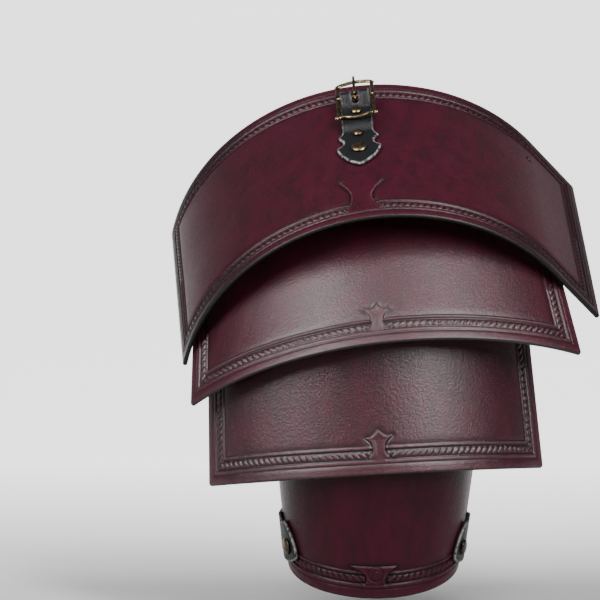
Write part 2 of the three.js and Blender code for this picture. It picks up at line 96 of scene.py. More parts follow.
@dataclass(frozen=True)
class PlateSize:
    """A rolled sheet: where the middle of its lower edge is, how it leans, rolls and turns, and its bend.

    The rise of its lower edge and the drops of its upper edge are those 100 mm from the middle.
    """

    at: Triple
    lean: float
    roll: float
    turn: float
    left_radius: float
    left_arc: float
    right_radius: float
    right_arc: float
    half_length: float
    height: float
    taper: float
    lower_rise: float = 0.0
    left_drop: float = 0.0
    right_drop: float = 0.0
    thickness: float = 3.0
    corner: float = 2.5


@dataclass(frozen=True)
class EmblemSize:
    """A tooled emblem: sides from foot to tip and a crown, as (across, height), and a knot with a radius."""

    left: tuple[Pair, ...]
    right: tuple[Pair, ...]
    crown: tuple[Pair, ...] = ()
    knot: Triple | None = None


@dataclass(frozen=True)
class BorderSize:
    """The tooled border by distance from the edge: a profile of heights and a rope of slanted lobes."""

    profile: tuple[Pair, ...] = (
        (1.2, 0.0), (5.9, 0.0), (6.5, -0.35), (6.9, -0.6), (7.3, -0.1), (7.7, 0.08), (9.0, 0.1),
        (9.5, -0.15), (9.9, -0.9), (10.4, -1.0), (15.6, -1.0), (16.1, -0.55), (16.5, 0.12), (17.3, 0.2),
        (17.8, -0.05), (18.3, -0.42), (18.9, -0.34), (20.6, -0.1), (22.5, 0.0),
    )
    rope_at: float = 12.7
    rope_half: float = 2.5
    rope_pitch: float = 4.4
    rope_slant: float = -0.7
    rope_rise: float = 1.15
    outer_end: float = 9.0
    reach: float = 22.5


@dataclass(frozen=True)
class StrapSize:
    """Black strap leather, and the shield end of its tips as half-widths by distance from the tip."""

    width: float = 20.2
    thickness: float = 2.4
    gap: float = 0.3
    shield: tuple[Pair, ...] = (
        (0.0, 1.0), (1.2, 2.9), (4.0, 6.1), (7.0, 8.6), (11.0, 11.3), (17.0, 13.6), (20.6, 14.3),
        (21.6, 13.9), (22.8, 12.1), (24.4, 10.7), (27.2, 10.1), (29.8, 11.0), (31.6, 12.6), (33.2, 13.1),
        (34.6, 12.3), (37.2, 10.8), (40.5, 10.1),
    )


@dataclass(frozen=True)
class TabSize:
    """The buckle tab on the top plate, from its tip to its bar: heights, distances across and stand-offs."""

    tip: float = 59.5
    tip_across: float = -4.7
    step_start: float = 97.5
    back_end: float = 105.0
    step_end: float = 106.0
    seam_end: float = 123.2
    seam_lifts: tuple[Pair, ...] = ((4.7, 0.15), (2.2, 0.4), (0.0, 0.7))
    bar: float = 132.6
    bar_across: float = -2.0
    bar_off: float = 8.0
    fold_reach: float = 6.5
    fold_drop: float = 1.3
    fold_from: float = 129.0
    fold_to: float = -75.0


@dataclass(frozen=True)
class BuckleSize:
    """The centre-bar buckle in its own frame: x along the bar, y up the tab and z outwards."""

    bar_radius: float = 1.6
    side_radius: float = 1.2
    half_width: float = 11.7
    turn: float = 2.0
    cant: float = 5.0
    lift: float = 1.2
    side: tuple[Triple, ...] = (
        (11.7, 14.6, 0), (11.9, 8, 0), (12.05, 0, 0), (12.0, -22.6, 0),
    )
    top: tuple[Triple, ...] = (
        (-12.6, 14.2, 0), (-11.2, 15.6, 0), (-5.85, 17.3, 0), (0, 18, 0), (5.85, 17.3, 0), (11.2, 15.6, 0),
        (12.6, 14.2, 0),
    )
    lip: Triple = (0, -1.3, 0.25)
    lip_ends: int = 3
    bottom: tuple[Triple, ...] = (
        (-13.5, -23.9, 0.6), (-11.8, -22.9, 0.4), (-8.2, -22.5, 0.2), (-4, -23.8, 0), (0, -24.4, 0),
        (4, -23.8, 0), (8.2, -22.5, 0.2), (11.8, -22.9, 0.4), (13.5, -23.9, 0.6),
    )
    tongue_radius: float = 1.0
    tongue_wrap: Pair = (-200.0, 88.0)
    tongue_rest: float = 18.0
    tongue_tip: float = 20.6
    slot_width: float = 4.2
    slot_below: float = 8.6
    slot_above: float = 2.9


@dataclass(frozen=True)
class RivetSize:
    """A rivet: its head's radius and rise, the radii of its shank and tail, and how many sides it has."""

    head: float
    rise: float
    shank: float
    tail: float
    sides: int = 44


class Rivet(Enum):
    """The kinds of rivet."""

    LARGE = RivetSize(5.3, 1.9, 1.8, 3.6)
    MEDIUM = RivetSize(3.7, 1.8, 1.5, 3.0)
    SMALL = RivetSize(3.4, 1.8, 1.5, 3.0)
    HIDDEN = RivetSize(4.0, 1.4, 1.5, 3.2, 20)


@dataclass(frozen=True)
class ArmSize:
    """The strap round the arm: how it climbs from its two shield tips, their angles and its lap."""

    tip_height: float = 18.6
    climb: float = 0.49
    steady_to: float = 8.0
    level_from: float = 34.0
    left_tip: float = -54.5
    right_tip: float = 63.5
    raised_from: float = 148.0
    rise: Pair = (12.0, 1.0)
    lap_end: float = 200.0
    rivet_from_tip: float = 10.6
    shows_to: float = 64.0
    clasp_at: float = 180.0
    clasp_length: float = 12.0
    clasp_wall: float = 1.6


TOP = PlateSize((-1.4, 27.5, 250.2), 57, 6.3, 0, 141, 74, 138, 55.5, 182.5, 160, 0.0002)
SECOND = PlateSize((-1, 4.5, 170.7), 36, 5.5, 2.8, 169, 80, 188, 80, 144, 112, -0.00073, 2.5, 24, 21.5)
THIRD = PlateSize((0.7, 10, 86.6), 9, 3.2, 1.6, 141, 80, 123, 55, 130, 95, -0.0004, 0.6)
CUFF = PlateSize((-4.6, 33, 3.6), -9.5, -0.5, 3.7, 55.8, 110, 55.8, 110, 102, 98, 0.0022, 9.2)
ARM_ROUND = replace(CUFF, left_arc=360, right_arc=360)

STRAP = StrapSize()
TAB = TabSize()
BUCKLE = BuckleSize()
ARM = ArmSize()
BORDER = BorderSize()
TAB_RIVETS = (
    ("tab_rivet_upper", Rivet.MEDIUM, 119.0, 2),
    ("tab_rivet_small", Rivet.SMALL, 95.4, 1),
    ("tab_rivet_large", Rivet.LARGE, 78.0, 1),
)
LACING_HOLES = ((-132.0, 142.4), (125.7, 128.6))
LACING_RADIUS = 1.9
SEAT_AT = (-3.0, 100.0)
EMBLEMS = {
    "top_plate": EmblemSize(
        left=((-18.6, 9.6), (-16.2, 14.0), (-14.2, 20.0), (-13.4, 26.5), (-15.0, 34.0), (-19.2, 42.6)),
        right=((6.0, 9.4), (3.0, 13.4), (0.6, 18.5), (-0.4, 24.5), (2.2, 32.5), (7.8, 40.8)),
    ),
    "second_lame": EmblemSize(
        left=((-5.0, 10.4), (-3.5, 11.8), (-2.0, 14.6), (-1.8, 17.6), (-2.8, 22.0), (-6.2, 26.6)),
        right=((8.9, 10.4), (7.4, 11.8), (5.9, 14.4), (5.6, 17.0), (6.6, 20.8), (10.1, 25.2)),
        crown=((-6.2, 26.6), (-2.2, 25.8), (0.4, 27.0), (2.3, 29.1), (4.0, 27.0), (6.4, 25.0), (10.1, 25.2)),
    ),
    "third_lame": EmblemSize(
        left=((-5.8, 10.4), (-4.3, 11.8), (-2.9, 14.4), (-2.7, 16.8), (-3.6, 20.2), (-7.0, 23.5)),
        right=((7.9, 10.4), (6.4, 11.8), (5.0, 14.4), (4.8, 17.0), (5.6, 20.6), (9.3, 24.6)),
        crown=((-7.0, 23.5), (-3.4, 24.0), (-1.0, 26.0), (1.0, 28.0), (3.0, 26.2), (5.4, 24.6), (9.3, 24.6)),
    ),
    "arm_cuff": EmblemSize(
        left=((-2.6, 9.8), (-1.6, 12.2), (-2.6, 15.4), (-5.8, 18.4), (-11.7, 21.0)),
        right=((10.2, 10.2), (9.4, 12.4), (10.4, 15.6), (12.4, 18.6), (16.4, 21.4)),
        crown=((-11.7, 21.0), (-4.0, 21.2), (2.6, 21.2), (9.0, 21.3), (16.4, 21.4)),
        knot=(3.8, 16.4, 4.2),
    ),
}


@dataclass(frozen=True)
class HangerLeg:
    """A stretch of an inner strap on one plate's inner face, with the height of its rivet if it has one."""

    plate: PlateSize
    across: float
    start: float
    end: float
    riveted: float | None = None


SECOND_RIVET_DROP = 3.5
THIRD_RIVET_AT = 89.2
CUFF_LEG = (95, 82, 91)


def _legs(second: float, third: float, cuff: float, starts: Pair, ends: Pair) -> tuple[HangerLeg, ...]:
    """The three lower legs that every inner strap has.

    Args:
        second, third, cuff: distances across on the three plates.
        starts: where the legs on the second and third plates start.
        ends: where they end.

    Returns:
        The legs, from the top down.
    """
    return (
        HangerLeg(SECOND, second, starts[0], ends[0], starts[0] - SECOND_RIVET_DROP),
        HangerLeg(THIRD, third, starts[1], ends[1], THIRD_RIVET_AT),
        HangerLeg(CUFF, cuff, *CUFF_LEG),
    )


HANGERS = {
    "centre": (HangerLeg(TOP, -3, 128, 36), *_legs(2, 1, 3, (108, 92), (26, 24))),
    "left": _legs(-44, -40, -36, (103, 92), (30, 30)),
    "right": _legs(46, 42, 40, (104, 92), (30, 30)),
}
HANGER_HALF_WIDTH = 9.0


# Finishes


@dataclass(frozen=True)
class LeatherFinish:
    """Tooled leather: dye and its mottles, grooves and painted shade, edges, ridges lightened by rubbing and
    by painted highlights, flesh side and shine.
    """

    dye: Colour
    mottle: Colour
    bloom: Colour
    groove_and_shade: Colour
    edge: Colour
    worn_and_highlight: Colour
    flesh: Colour
    roughness: float
    grain: float
    coat: float
    specular: float
    # How much of the lighter colour of ridges and edges shows; it is partly rubbing and partly a painted
    # highlight.
    wear_and_highlight_share: float = 1.0


@dataclass(frozen=True)
class MetalFinish:
    """Antique metal: bright and dark tones, how rough it is and how much of it is dark."""

    bright: Colour
    dark: Colour
    roughness: float
    darkening: float


OXBLOOD = LeatherFinish(
    dye=(0.036, 0.0022, 0.0092),
    mottle=(0.0200, 0.0025, 0.0062),
    bloom=(0.042, 0.0048, 0.0135),
    # Dark red of grooves and specks; on the top plate's border ends it also paints shade.
    groove_and_shade=(0.006, 0.002, 0.003),
    edge=(0.004, 0.005, 0.004),
    # Lighter red of ridges and edges: partly rubbing, partly a painted highlight.
    worn_and_highlight=(0.095, 0.032, 0.044),
    flesh=(0.060, 0.030, 0.022),
    roughness=0.34,
    grain=1.0,
    coat=0.05,
    specular=0.5,
)
# Shaded copies of the oxblood leather, with less sheen and fewer lighter ridges: painted shade on the top
# plate and on the cuff.
OXBLOOD_SHADED_TOP = replace(OXBLOOD, specular=0.26, wear_and_highlight_share=0.64)
OXBLOOD_SHADED_CUFF = replace(OXBLOOD, specular=0.14, wear_and_highlight_share=0.5)
BLACK = LeatherFinish(
    dye=(0.0035, 0.0040, 0.0052),
    mottle=(0.0022, 0.0024, 0.003),
    bloom=(0.006, 0.0066, 0.008),
    groove_and_shade=(0.001, 0.001, 0.0013),
    edge=(0.05, 0.05, 0.05),
    # Light grey on the straps' cut edges: partly rubbing, partly a painted highlight.
    worn_and_highlight=(0.32, 0.32, 0.31),
    flesh=(0.040, 0.034, 0.030),
    roughness=0.46,
    grain=0.8,
    coat=0.0,
    specular=0.26,
)
BRASS = MetalFinish(bright=(0.33, 0.25, 0.14), dark=(0.034, 0.024, 0.013), roughness=0.30, darkening=0.66)
TARNISHED = replace(BRASS, bright=(0.13, 0.10, 0.065), dark=(0.012, 0.010, 0.008), roughness=0.26)


@dataclass(frozen=True)
class Noise:
    """A noise: the size of its features in mm, then its detail, stretch, roughness and distortion."""

    size: float
    detail: float = 3.0
    stretch: Triple = (1, 1, 1)
    rough: float = 0.5
    warp: float = 0.0


@dataclass(frozen=True)
class Bump:
    """A bump: its depth in mm and its strength."""

    depth: float
    strength: float


STREAKS = Noise(16, 4, (1.6, 1.2, 0.55), 0.55, 0.6)
PATCHES = Noise(48, 3, (1, 1, 0.8))
FINE = Noise(1.6, 4, rough=0.7)
SCUFFS = Noise(2.6, 5, rough=0.7)
GRAIN = Noise(1.0, 4, rough=0.65)
FOLDS = Noise(9, 3, (1, 1, 0.7), 0.5, 0.4)
TARNISH = Noise(3.2, 5, rough=0.65)
METAL_GRAIN = Noise(0.9, 4)
PEBBLE_SIZE = 1.8
SPECK_SIZE = 4.2
FOLD_BUMP = Bump(0.5, 0.3)
PEBBLE_BUMP = Bump(0.20, 0.45)
GRAIN_BUMP = Bump(0.34, 0.75)
METAL_BUMP = Bump(0.06, 0.3)
STREAK_SPAN = (0.38, 0.66)
PATCH_SPAN = (0.5, 0.8, 0.0, 0.6)
FINE_SPAN = (0.38, 0.64, 0.0, 0.42)
SPECK_SPAN = (0.16, 0.07)
SPECKED_STREAKS = (0.4, 0.55)
SPECK_SHARE = 0.75
SCUFF_SPAN = (0.4, 0.62)
SHINE_SPAN = (0.3, 0.75)
ROUGHER_BY = (-0.06, 0.12)
TARNISH_SPAN = (0.36, 0.66)
TARNISH_LEAST = 0.25
TARNISH_MORE = 0.35
METAL_SHINE_SPAN = (0.3, 0.7)
METAL_ROUGHER_BY = (-0.06, 0.16)
COAT_ROUGHNESS = 0.28
FLESH_ROUGHER = 0.4
SPECKS_ROUGHER = 0.2
WORN_ROUGHER = 0.14


# Small maths


def smooth(value: np.ndarray, low: float, high: float) -> np.ndarray:
    """A smooth step from 0 at a low value to 1 at a high one."""
    t = np.clip((value - low) / (high - low), 0, 1)
    return t * t * (3 - 2 * t)


def bell(value: np.ndarray, centre: float, width: float) -> np.ndarray:
    """A bell of height 1 round a centre."""
    return np.exp(-(((value - centre) / width) ** 2))


def curve_through(knots: np.ndarray, values: np.ndarray, at: np.ndarray, tension: float = 1.0) -> np.ndarray:
    """A smooth curve through values at knots.

    Args:
        knots: rising positions.
        values: one row of values for each knot.
        at: positions to take the curve at.
        tension: 1 for full tangents, 0 for flat ones.

    Returns:
        One row of values for each position.
    """
    slopes = np.gradient(values, knots, axis=0) * tension
    i = np.clip(np.searchsorted(knots, at, side="right") - 1, 0, len(knots) - 2)
    span = knots[i + 1] - knots[i]
    t = np.clip((at - knots[i]) / span, 0, 1)
    shape = (-1,) + (1,) * (values.ndim - 1)
    t, span = t.reshape(shape), span.reshape(shape)
    return (
        (2 * t**3 - 3 * t**2 + 1) * values[i]
        + (t**3 - 2 * t**2 + t) * span * slopes[i]
        + (3 * t**2 - 2 * t**3) * values[i + 1]
        + (t**3 - t**2) * span * slopes[i + 1]
    )


def path_through(points: Sequence[Sequence[float]], step: float) -> np.ndarray:
    """A smooth path through points, sampled evenly.

    Args:
        points: what it runs through.
        step: about how far apart the samples are.

    Returns:
        The samples, one row each.
    """
    given = np.array(points, float)
    knots = np.concatenate([[0], np.cumsum(np.linalg.norm(np.diff(given, axis=0), axis=1))])
    return curve_through(knots, given, np.linspace(0, knots[-1], max(2, math.ceil(knots[-1] / step) + 1)))


def distance_to(points: np.ndarray, path: np.ndarray, closed: bool = False) -> np.ndarray:
    """Distance of 2D points from a path.

    Args:
        points: the points.
        path: the path's corners.
        closed: whether its last corner joins its first.

    Returns:
        One distance for each point.
    """
    a = path if closed else path[:-1]
    b = np.roll(path, -1, axis=0) if closed else path[1:]
    along = b - a
    length = np.maximum((along**2).sum(1), TINY)
    found = np.empty(len(points))
    for start in range(0, len(points), POINTS_AT_ONCE):
        part = slice(start, start + POINTS_AT_ONCE)
        off = points[part, None, :] - a[None]
        t = np.clip((off * along).sum(2) / length, 0, 1)
        found[part] = np.sqrt(((off - t[..., None] * along) ** 2).sum(2).min(1))
    return found


def inside(points: np.ndarray, loop: np.ndarray) -> np.ndarray:
    """Which 2D points lie inside a loop.

    Args:
        points: the points.
        loop: the loop's corners.

    Returns:
        One truth value for each point.
    """
    a, b = loop, np.roll(loop, -1, axis=0)
    found = np.zeros(len(points), bool)
    rise = np.where(b[:, 1] == a[:, 1], TINY, b[:, 1] - a[:, 1])
    for start in range(0, len(points), POINTS_AT_ONCE):
        part = slice(start, start + POINTS_AT_ONCE)
        x, y = points[part, 0, None], points[part, 1, None]
        crosses = (a[:, 1] > y) != (b[:, 1] > y)
        left = x < a[:, 0] + (y - a[:, 1]) / rise * (b[:, 0] - a[:, 0])
        found[part] = (crosses & left).sum(1) % 2 == 1
    return found


def lattice(low: Pair, high: Pair, step: float) -> np.ndarray:
    """A staggered grid of points in a box.

    Args:
        low, high: the box's corners.
        step: the grid's spacing.

    Returns:
        The points.
    """
    rows = np.arange(low[1], high[1] + step / 2, step * ROW_SPACING)
    columns = np.arange(low[0], high[0] + step / 2, step)
    x, y = np.meshgrid(columns, rows)
    x = x + (np.arange(len(rows)) % 2)[:, None] * step / 2
    return np.stack([x.ravel(), y.ravel()], 1)


def between(start: Pair, end: Pair, step: float) -> np.ndarray:
    """Points from a start up to just before an end.

    Args:
        start, end: where they run from and to.
        step: about how far apart they are.

    Returns:
        The points.
    """
    count = max(1, round(math.dist(start, end) / step))
    share = np.arange(count)[:, None]
    return np.array(start) + (np.array(end) - start) * share / count


def arc(centre: Pair, radius: float, turn: np.ndarray) -> np.ndarray:
    """Points on a circle at turns in radians."""
    return np.array(centre) + radius * np.stack([np.cos(turn), np.sin(turn)], 1)


def rotation(degrees: float, first: int, second: int) -> np.ndarray:
    """A turn from one axis towards another.

    Args:
        degrees: how far it turns.
        first, second: the two axes.

    Returns:
        The matrix.
    """
    angle = math.radians(degrees)
    found = np.eye(3)
    found[first, first] = found[second, second] = math.cos(angle)
    found[second, first] = math.sin(angle)
    found[first, second] = -found[second, first]
    return found


def rounding(edge: np.ndarray, radius: float) -> np.ndarray:
    """How far a face lies below its level at distances from a rounded edge."""
    return radius - np.sqrt(np.clip(radius**2 - np.clip(radius - edge, 0, radius) ** 2, 0, None))


# Surfaces


class PlateSurface:
    """The bent surface of a plate, as points at a distance across, a height and an offset outwards."""

    RISE_AT = 100.0

    def __init__(self, size: PlateSize) -> None:
        """Works out the plate's axes.

        Args:
            size: the plate's sizes.
        """
        self.size = size
        lean, turn = math.radians(size.lean), math.radians(size.turn)
        along = np.array([0, math.sin(lean), math.cos(lean)])
        out = np.array([0, -math.cos(lean), math.sin(lean)])
        across = np.array([1.0, 0, 0])
        turned_out = math.cos(turn) * out - math.sin(turn) * across
        turned_across = math.cos(turn) * across + math.sin(turn) * out
        roll = rotation(size.roll, 0, 2)
        self.across, self.along, self.out = roll @ turned_across, roll @ along, roll @ turned_out

    def _section(self, s: np.ndarray) -> tuple[np.ndarray, np.ndarray, np.ndarray]:
        """The bend of the plate.

        Args:
            s: lengths across.

        Returns:
            Sideways and inward distances, and slopes.
        """
        size = self.size
        side = np.sign(s)
        radius = np.where(s < 0, size.left_radius, size.right_radius)
        bent = np.radians(np.where(s < 0, size.left_arc, size.right_arc))
        slope = np.minimum(np.abs(s) / radius, bent)
        straight = np.maximum(np.abs(s) - radius * bent, 0)
        sideways = radius * np.sin(slope) + straight * np.cos(slope)
        inward = radius * (1 - np.cos(slope)) + straight * np.sin(slope)
        return side * sideways, inward, side * slope

    def directions(self, s: np.ndarray) -> tuple[np.ndarray, np.ndarray, np.ndarray]:
        """The directions across the plate, up its ruling, and outwards.

        Args:
            s: lengths across.

        Returns:
            Three arrays of unit vectors.
        """
        s = np.atleast_1d(np.asarray(s, float))
        sideways, inward, slope = self._section(s)
        tangent = np.cos(slope)[:, None] * self.across - np.sin(slope)[:, None] * self.out
        widening = sideways[:, None] * self.across - inward[:, None] * self.out
        ruling = self.along + self.size.taper * widening
        ruling /= np.linalg.norm(ruling, axis=1)[:, None]
        normal = np.cross(tangent, ruling)
        return tangent, ruling, normal / np.linalg.norm(normal, axis=1)[:, None]

    def place(self, s: np.ndarray, v: np.ndarray, offset: np.ndarray | float = 0.0) -> np.ndarray:
        """Points on the plate.

        Args:
            s, v: lengths across and heights.
            offset: distance outwards from the outer face.

        Returns:
            The points in mm.
        """
        s, v = np.atleast_1d(np.asarray(s, float)), np.atleast_1d(np.asarray(v, float))
        sideways, inward, _ = self._section(s)
        scale = 1 + self.size.taper * v
        flat = np.array(self.size.at) + (scale * sideways)[:, None] * self.across
        flat = flat - (scale * inward)[:, None] * self.out + v[:, None] * self.along
        return flat + np.broadcast_to(offset, s.shape)[:, None] * self.directions(s)[2]

    def lower(self, s: np.ndarray) -> np.ndarray:
        """Height of the lower edge at lengths s."""
        return self.size.lower_rise * (s / self.RISE_AT) ** 2

    def upper(self, s: np.ndarray) -> np.ndarray:
        """Height of the upper edge at lengths s."""
        drop = np.where(s < 0, self.size.left_drop, self.size.right_drop)
        return self.size.height - drop * (s / self.RISE_AT) ** 2

    def tall(self, s: np.ndarray) -> np.ndarray:
        """Distance between the two edges at lengths s."""
        return self.upper(s) - self.lower(s)


SEAT = PlateSurface(TOP).place(*SEAT_AT, -TOP.thickness)[0]


class Track:
    """A strip's middle surface, as points at a length along and a distance aside of its middle line."""

    REACH = 15.0
    ASIDE = np.linspace(-REACH, REACH, 31)

    def __init__(self, rows: Sequence[np.ndarray], step: float = 0.4, tension: float = 1.0,
                 side: float = 1.0) -> None:
        """Lays the surface through rows of points.

        Args:
            rows: for each station, one point at each distance aside.
            step: spacing of the stations that are filled in.
            tension: how much the surface rounds between stations.
            side: 1 if its normals point outwards as given, -1 if they are to be turned round.
        """
        given = np.array(rows)
        middle = given[:, len(self.ASIDE) // 2]
        self.knots = np.concatenate([[0], np.cumsum(np.linalg.norm(np.diff(middle, axis=0), axis=1))])
        self.length = float(self.knots[-1])
        self.along = np.linspace(0, self.length, math.ceil(self.length / step) + 1)
        self.points = curve_through(self.knots, given, self.along, tension)
        forward = np.gradient(self.points, self.along, axis=0)
        sideways = np.gradient(self.points, self.ASIDE, axis=1)
        normal = np.cross(sideways, forward) * side
        self.normals = normal / np.linalg.norm(normal, axis=2)[..., None]

    def place(self, along: np.ndarray, aside: np.ndarray, offset: np.ndarray | float) -> np.ndarray:
        """Points on the strip.

        Args:
            along, aside: where on the strip.
            offset: distance outwards from its middle surface.

        Returns:
            The points in mm.
        """
        i, u = self._split(along, self.along)
        j, w = self._split(aside, self.ASIDE)
        found = []
        for grid in (self.points, self.normals):
            near = grid[i, j] * (1 - w) + grid[i, j + 1] * w
            far = grid[i + 1, j] * (1 - w) + grid[i + 1, j + 1] * w
            found.append(near * (1 - u) + far * u)
        return found[0] + np.broadcast_to(offset, along.shape)[:, None] * found[1]

    @staticmethod
    def _split(value: np.ndarray, knots: np.ndarray) -> tuple[np.ndarray, np.ndarray]:
        """The interval of each value, and how far into it the value lies."""
        i = np.clip(np.searchsorted(knots, value, side="right") - 1, 0, len(knots) - 2)
        return i, ((value - knots[i]) / (knots[i + 1] - knots[i]))[:, None]


# Meshes

OFF_AXIS = (0.31, 0.2, 0.93)
CAP_ANGLES = (0.45, 0.95)


def add_mesh(name: str, points: np.ndarray, faces: Sequence[Sequence[int]], material: Material,
             marks: Marks | None = None) -> bpy.types.Object:
    """Makes a smooth closed mesh from points in mm.

    Args:
        name: the object's name.
        points: its corners, in the frame of the plates' sizes.
        faces: its faces.
        material: its finish.
        marks: values for each corner, by name.

    Returns:
        The object.
    """
    where = (points - SEAT) * MM
    triangles = np.array([(f[0], f[k], f[k + 1]) for f in faces for k in range(1, len(f) - 1)])
    a, b, c = (where[triangles[:, k]] for k in range(3))
    if (a * np.cross(b, c)).sum() < 0:
        faces = [tuple(reversed(f)) for f in faces]
    mesh = bpy.data.meshes.new(name)
    mesh.from_pydata(where.tolist(), [], [tuple(map(int, f)) for f in faces])
    mesh.polygons.foreach_set("use_smooth", [True] * len(mesh.polygons))
    for mark, values in (marks or {}).items():
        mesh.attributes.new(mark, "FLOAT", "POINT").data.foreach_set("value", np.asarray(values, np.float32))
    mesh.materials.append(material)
    mesh.validate()
    made = bpy.data.objects.new(name, mesh)
    bpy.context.scene.collection.objects.link(made)
    return made


def finish_piece(piece: bpy.types.Object, body: Body, slot: Slot, *nodes: str) -> bpy.types.Object:
    """Ties a piece to the frame.

    Args:
        piece: the piece.
        body: the body it rides on.
        slot: its material slot, which is not used.
        nodes: the frame's nodes that it stands for.

    Returns:
        The piece.
    """
    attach(piece, body.value)
    if nodes:
        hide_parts(*nodes)
    LOG.info("%s on %s: %d faces", piece.name, body.value, len(piece.data.polygons))
    return piece


def fill(loops: list[np.ndarray], points: np.ndarray,
         convex: bool) -> tuple[np.ndarray, np.ndarray, np.ndarray]:
    """Triangles that fill an outline round its holes.

    Args:
        loops: the outline, anticlockwise, and then its holes, clockwise.
        points: points inside.
        convex: whether the outline has no hollow side.

    Returns:
        The corners, the triangles, and the corner that each loop point became.
    """
    given = np.vstack([*loops, points])
    edges = []
    start = 0
    for loop in loops:
        edges += [(start + k, start + (k + 1) % len(loop)) for k in range(len(loop))]
        start += len(loop)
    given_points = [Vector(p) for p in given.tolist()]
    corners, _, faces, origins, _, _ = delaunay_2d_cdt(given_points, edges, [], 0, MERGE_DISTANCE, True)
    flat = np.array([tuple(c) for c in corners])
    triangles = np.array(faces)
    owner = np.zeros(start, int)
    for k, sources in enumerate(origins):
        for source in sources:
            if source < start:
                owner[source] = k
    centres = flat[triangles].mean(1)
    keep = np.ones(len(triangles), bool) if convex else inside(centres, loops[0])
    for hole in loops[1:]:
        near = np.abs(centres - hole.mean(0)).max(1) < np.ptp(hole, axis=0).max()
        keep[near] &= ~inside(centres[near], hole)
    a, b, c = (flat[triangles[:, k]] for k in range(3))
    right, up = b - a, c - a
    turned = right[:, 0] * up[:, 1] < right[:, 1] * up[:, 0]
    triangles[turned] = triangles[turned][:, ::-1]
    return flat, triangles[keep], owner


@dataclass
class Pattern:
    """A flat pattern: its outline and holes, and the points that its two faces are worked at."""

    loops: list[np.ndarray]
    face_points: np.ndarray
    back_points: np.ndarray
    convex: bool


Relief = Callable[[np.ndarray], tuple[np.ndarray, Marks]]
Place = Callable[[np.ndarray, np.ndarray], np.ndarray]


def leather_sheet(name: str, pattern: Pattern, face: Relief, back: Relief, place: Place,
                  material: Material) -> bpy.types.Object:
    """A sheet of leather: a worked face, a back and the cut edge between them.

    Args:
        name: the object's name.
        pattern: its flat pattern.
        face, back: heights and marks at pattern points, for each side.
        place: puts pattern points at their heights in space.
        material: its finish.

    Returns:
        The object.
    """
    corners, faces, marks, owners = [], [], [], []
    count = 0
    for side, points in ((face, pattern.face_points), (back, pattern.back_points)):
        flat, triangles, owner = fill(pattern.loops, points, pattern.convex)
        heights, found = side(flat)
        corners.append(place(flat, heights))
        marks.append(found)
        turned = triangles if side is face else triangles[:, ::-1]
        faces += (turned + count).tolist()
        owners.append(owner + count)
        count += len(flat)
    start = 0
    for loop in pattern.loops:
        ids = np.arange(start, start + len(loop))
        for a, b in zip(ids, np.roll(ids, -1)):
            faces.append([int(owners[0][a]), int(owners[1][a]), int(owners[1][b]), int(owners[0][b])])
        start += len(loop)
    values = {key: np.concatenate([m[key] for m in marks]) for key in marks[0]}
    return add_mesh(name, np.vstack(corners), faces, material, values)


def bands(rings: int, sides: int, closed: bool = False) -> list[tuple[int, ...]]:
    """Four-sided faces between rings of corners.

    Args:
        rings: how many rings there are.
        sides: how many corners each has.
        closed: whether the last ring joins the first.

    Returns:
        The faces.
    """
    faces = []
    for r in range(rings if closed else rings - 1):
        here, there = r * sides, (r + 1) % rings * sides
        for k in range(sides):
            n = (k + 1) % sides
            faces.append((here + k, here + n, there + n, there + k))
    return faces


def lathe(name: str, profile: Sequence[Pair], at: np.ndarray, axis: np.ndarray,
          material: Material, segments: int = 40) -> bpy.types.Object:
    """A turned solid.

    Args:
        name: the object's name.
        profile: (radius, height) from one end of the axis to the other.
        at: the point of height 0 in mm.
        axis: the direction of height.
        material: its finish.
        segments: how many sides it has.

    Returns:
        The object.
    """
    side = np.cross(axis, OFF_AXIS)
    side /= np.linalg.norm(side)
    other = np.cross(axis, side)
    angles = np.linspace(0, 2 * math.pi, segments, endpoint=False)
    around = np.cos(angles)[:, None] * side + np.sin(angles)[:, None] * other
    rings = [at + radius * around + height * axis for radius, height in profile[1:-1]]
    points = np.vstack([*rings, [at + profile[0][1] * axis], [at + profile[-1][1] * axis]])
    first, last = len(rings) * segments, len(rings) * segments + 1
    top = (len(rings) - 1) * segments
    faces = bands(len(rings), segments)
    for k in range(segments):
        n = (k + 1) % segments
        faces.append((first, n, k))
        faces.append((last, top + k, top + n))
    return add_mesh(name, points, faces, material)


def rod(path: np.ndarray, radii: np.ndarray, flat: float = 1.0, up: Sequence[float] = (0, 0, 1),
        sides: int = 20) -> Tube:
    """A bent rod with round ends.

    Args:
        path: its middle line.
        radii: its radius at each point of the path.
        flat: how thick it is towards "up", as a share of its width.
        up: the direction it is flattened in.
        sides: how many sides it has.

    Returns:
        Its corners and faces.
    """
    heading = np.gradient(path, axis=0)
    heading /= np.linalg.norm(heading, axis=1)[:, None]
    side = np.cross(heading, np.array(up, float))
    side /= np.linalg.norm(side, axis=1)[:, None]
    rise = np.cross(side, heading)
    angles = np.linspace(0, 2 * math.pi, sides, endpoint=False)
    rings = []
    caps = [(-math.cos(a), math.sin(a)) for a in CAP_ANGLES]
    stations = [(0, push, scale) for push, scale in caps] + [(i, 0, 1) for i in range(len(path))]
    stations += [(len(path) - 1, -push, scale) for push, scale in reversed(caps)]
    for i, push, scale in stations:
        across = np.cos(angles)[:, None] * side[i] + flat * np.sin(angles)[:, None] * rise[i]
        rings.append(path[i] + radii[i] * (push * heading[i] + scale * across))
    faces = bands(len(rings), sides)
    faces.append(tuple(range(sides - 1, -1, -1)))
    faces.append(tuple((len(rings) - 1) * sides + k for k in range(sides)))
    return np.vstack(rings), faces


def add_rods(name: str, rods: Sequence[Tube], material: Material) -> bpy.types.Object:
    """One object of several rods.

    Args:
        name: the object's name.
        rods: corners and faces of each.
        material: its finish.

    Returns:
        The object.
    """
    points, faces = [], []
    count = 0
    for corners, own in rods:
        points.append(corners)
        faces += [tuple(k + count for k in f) for f in own]
        count += len(corners)
    return add_mesh(name, np.vstack(points), faces, material)


# Finishes as materials


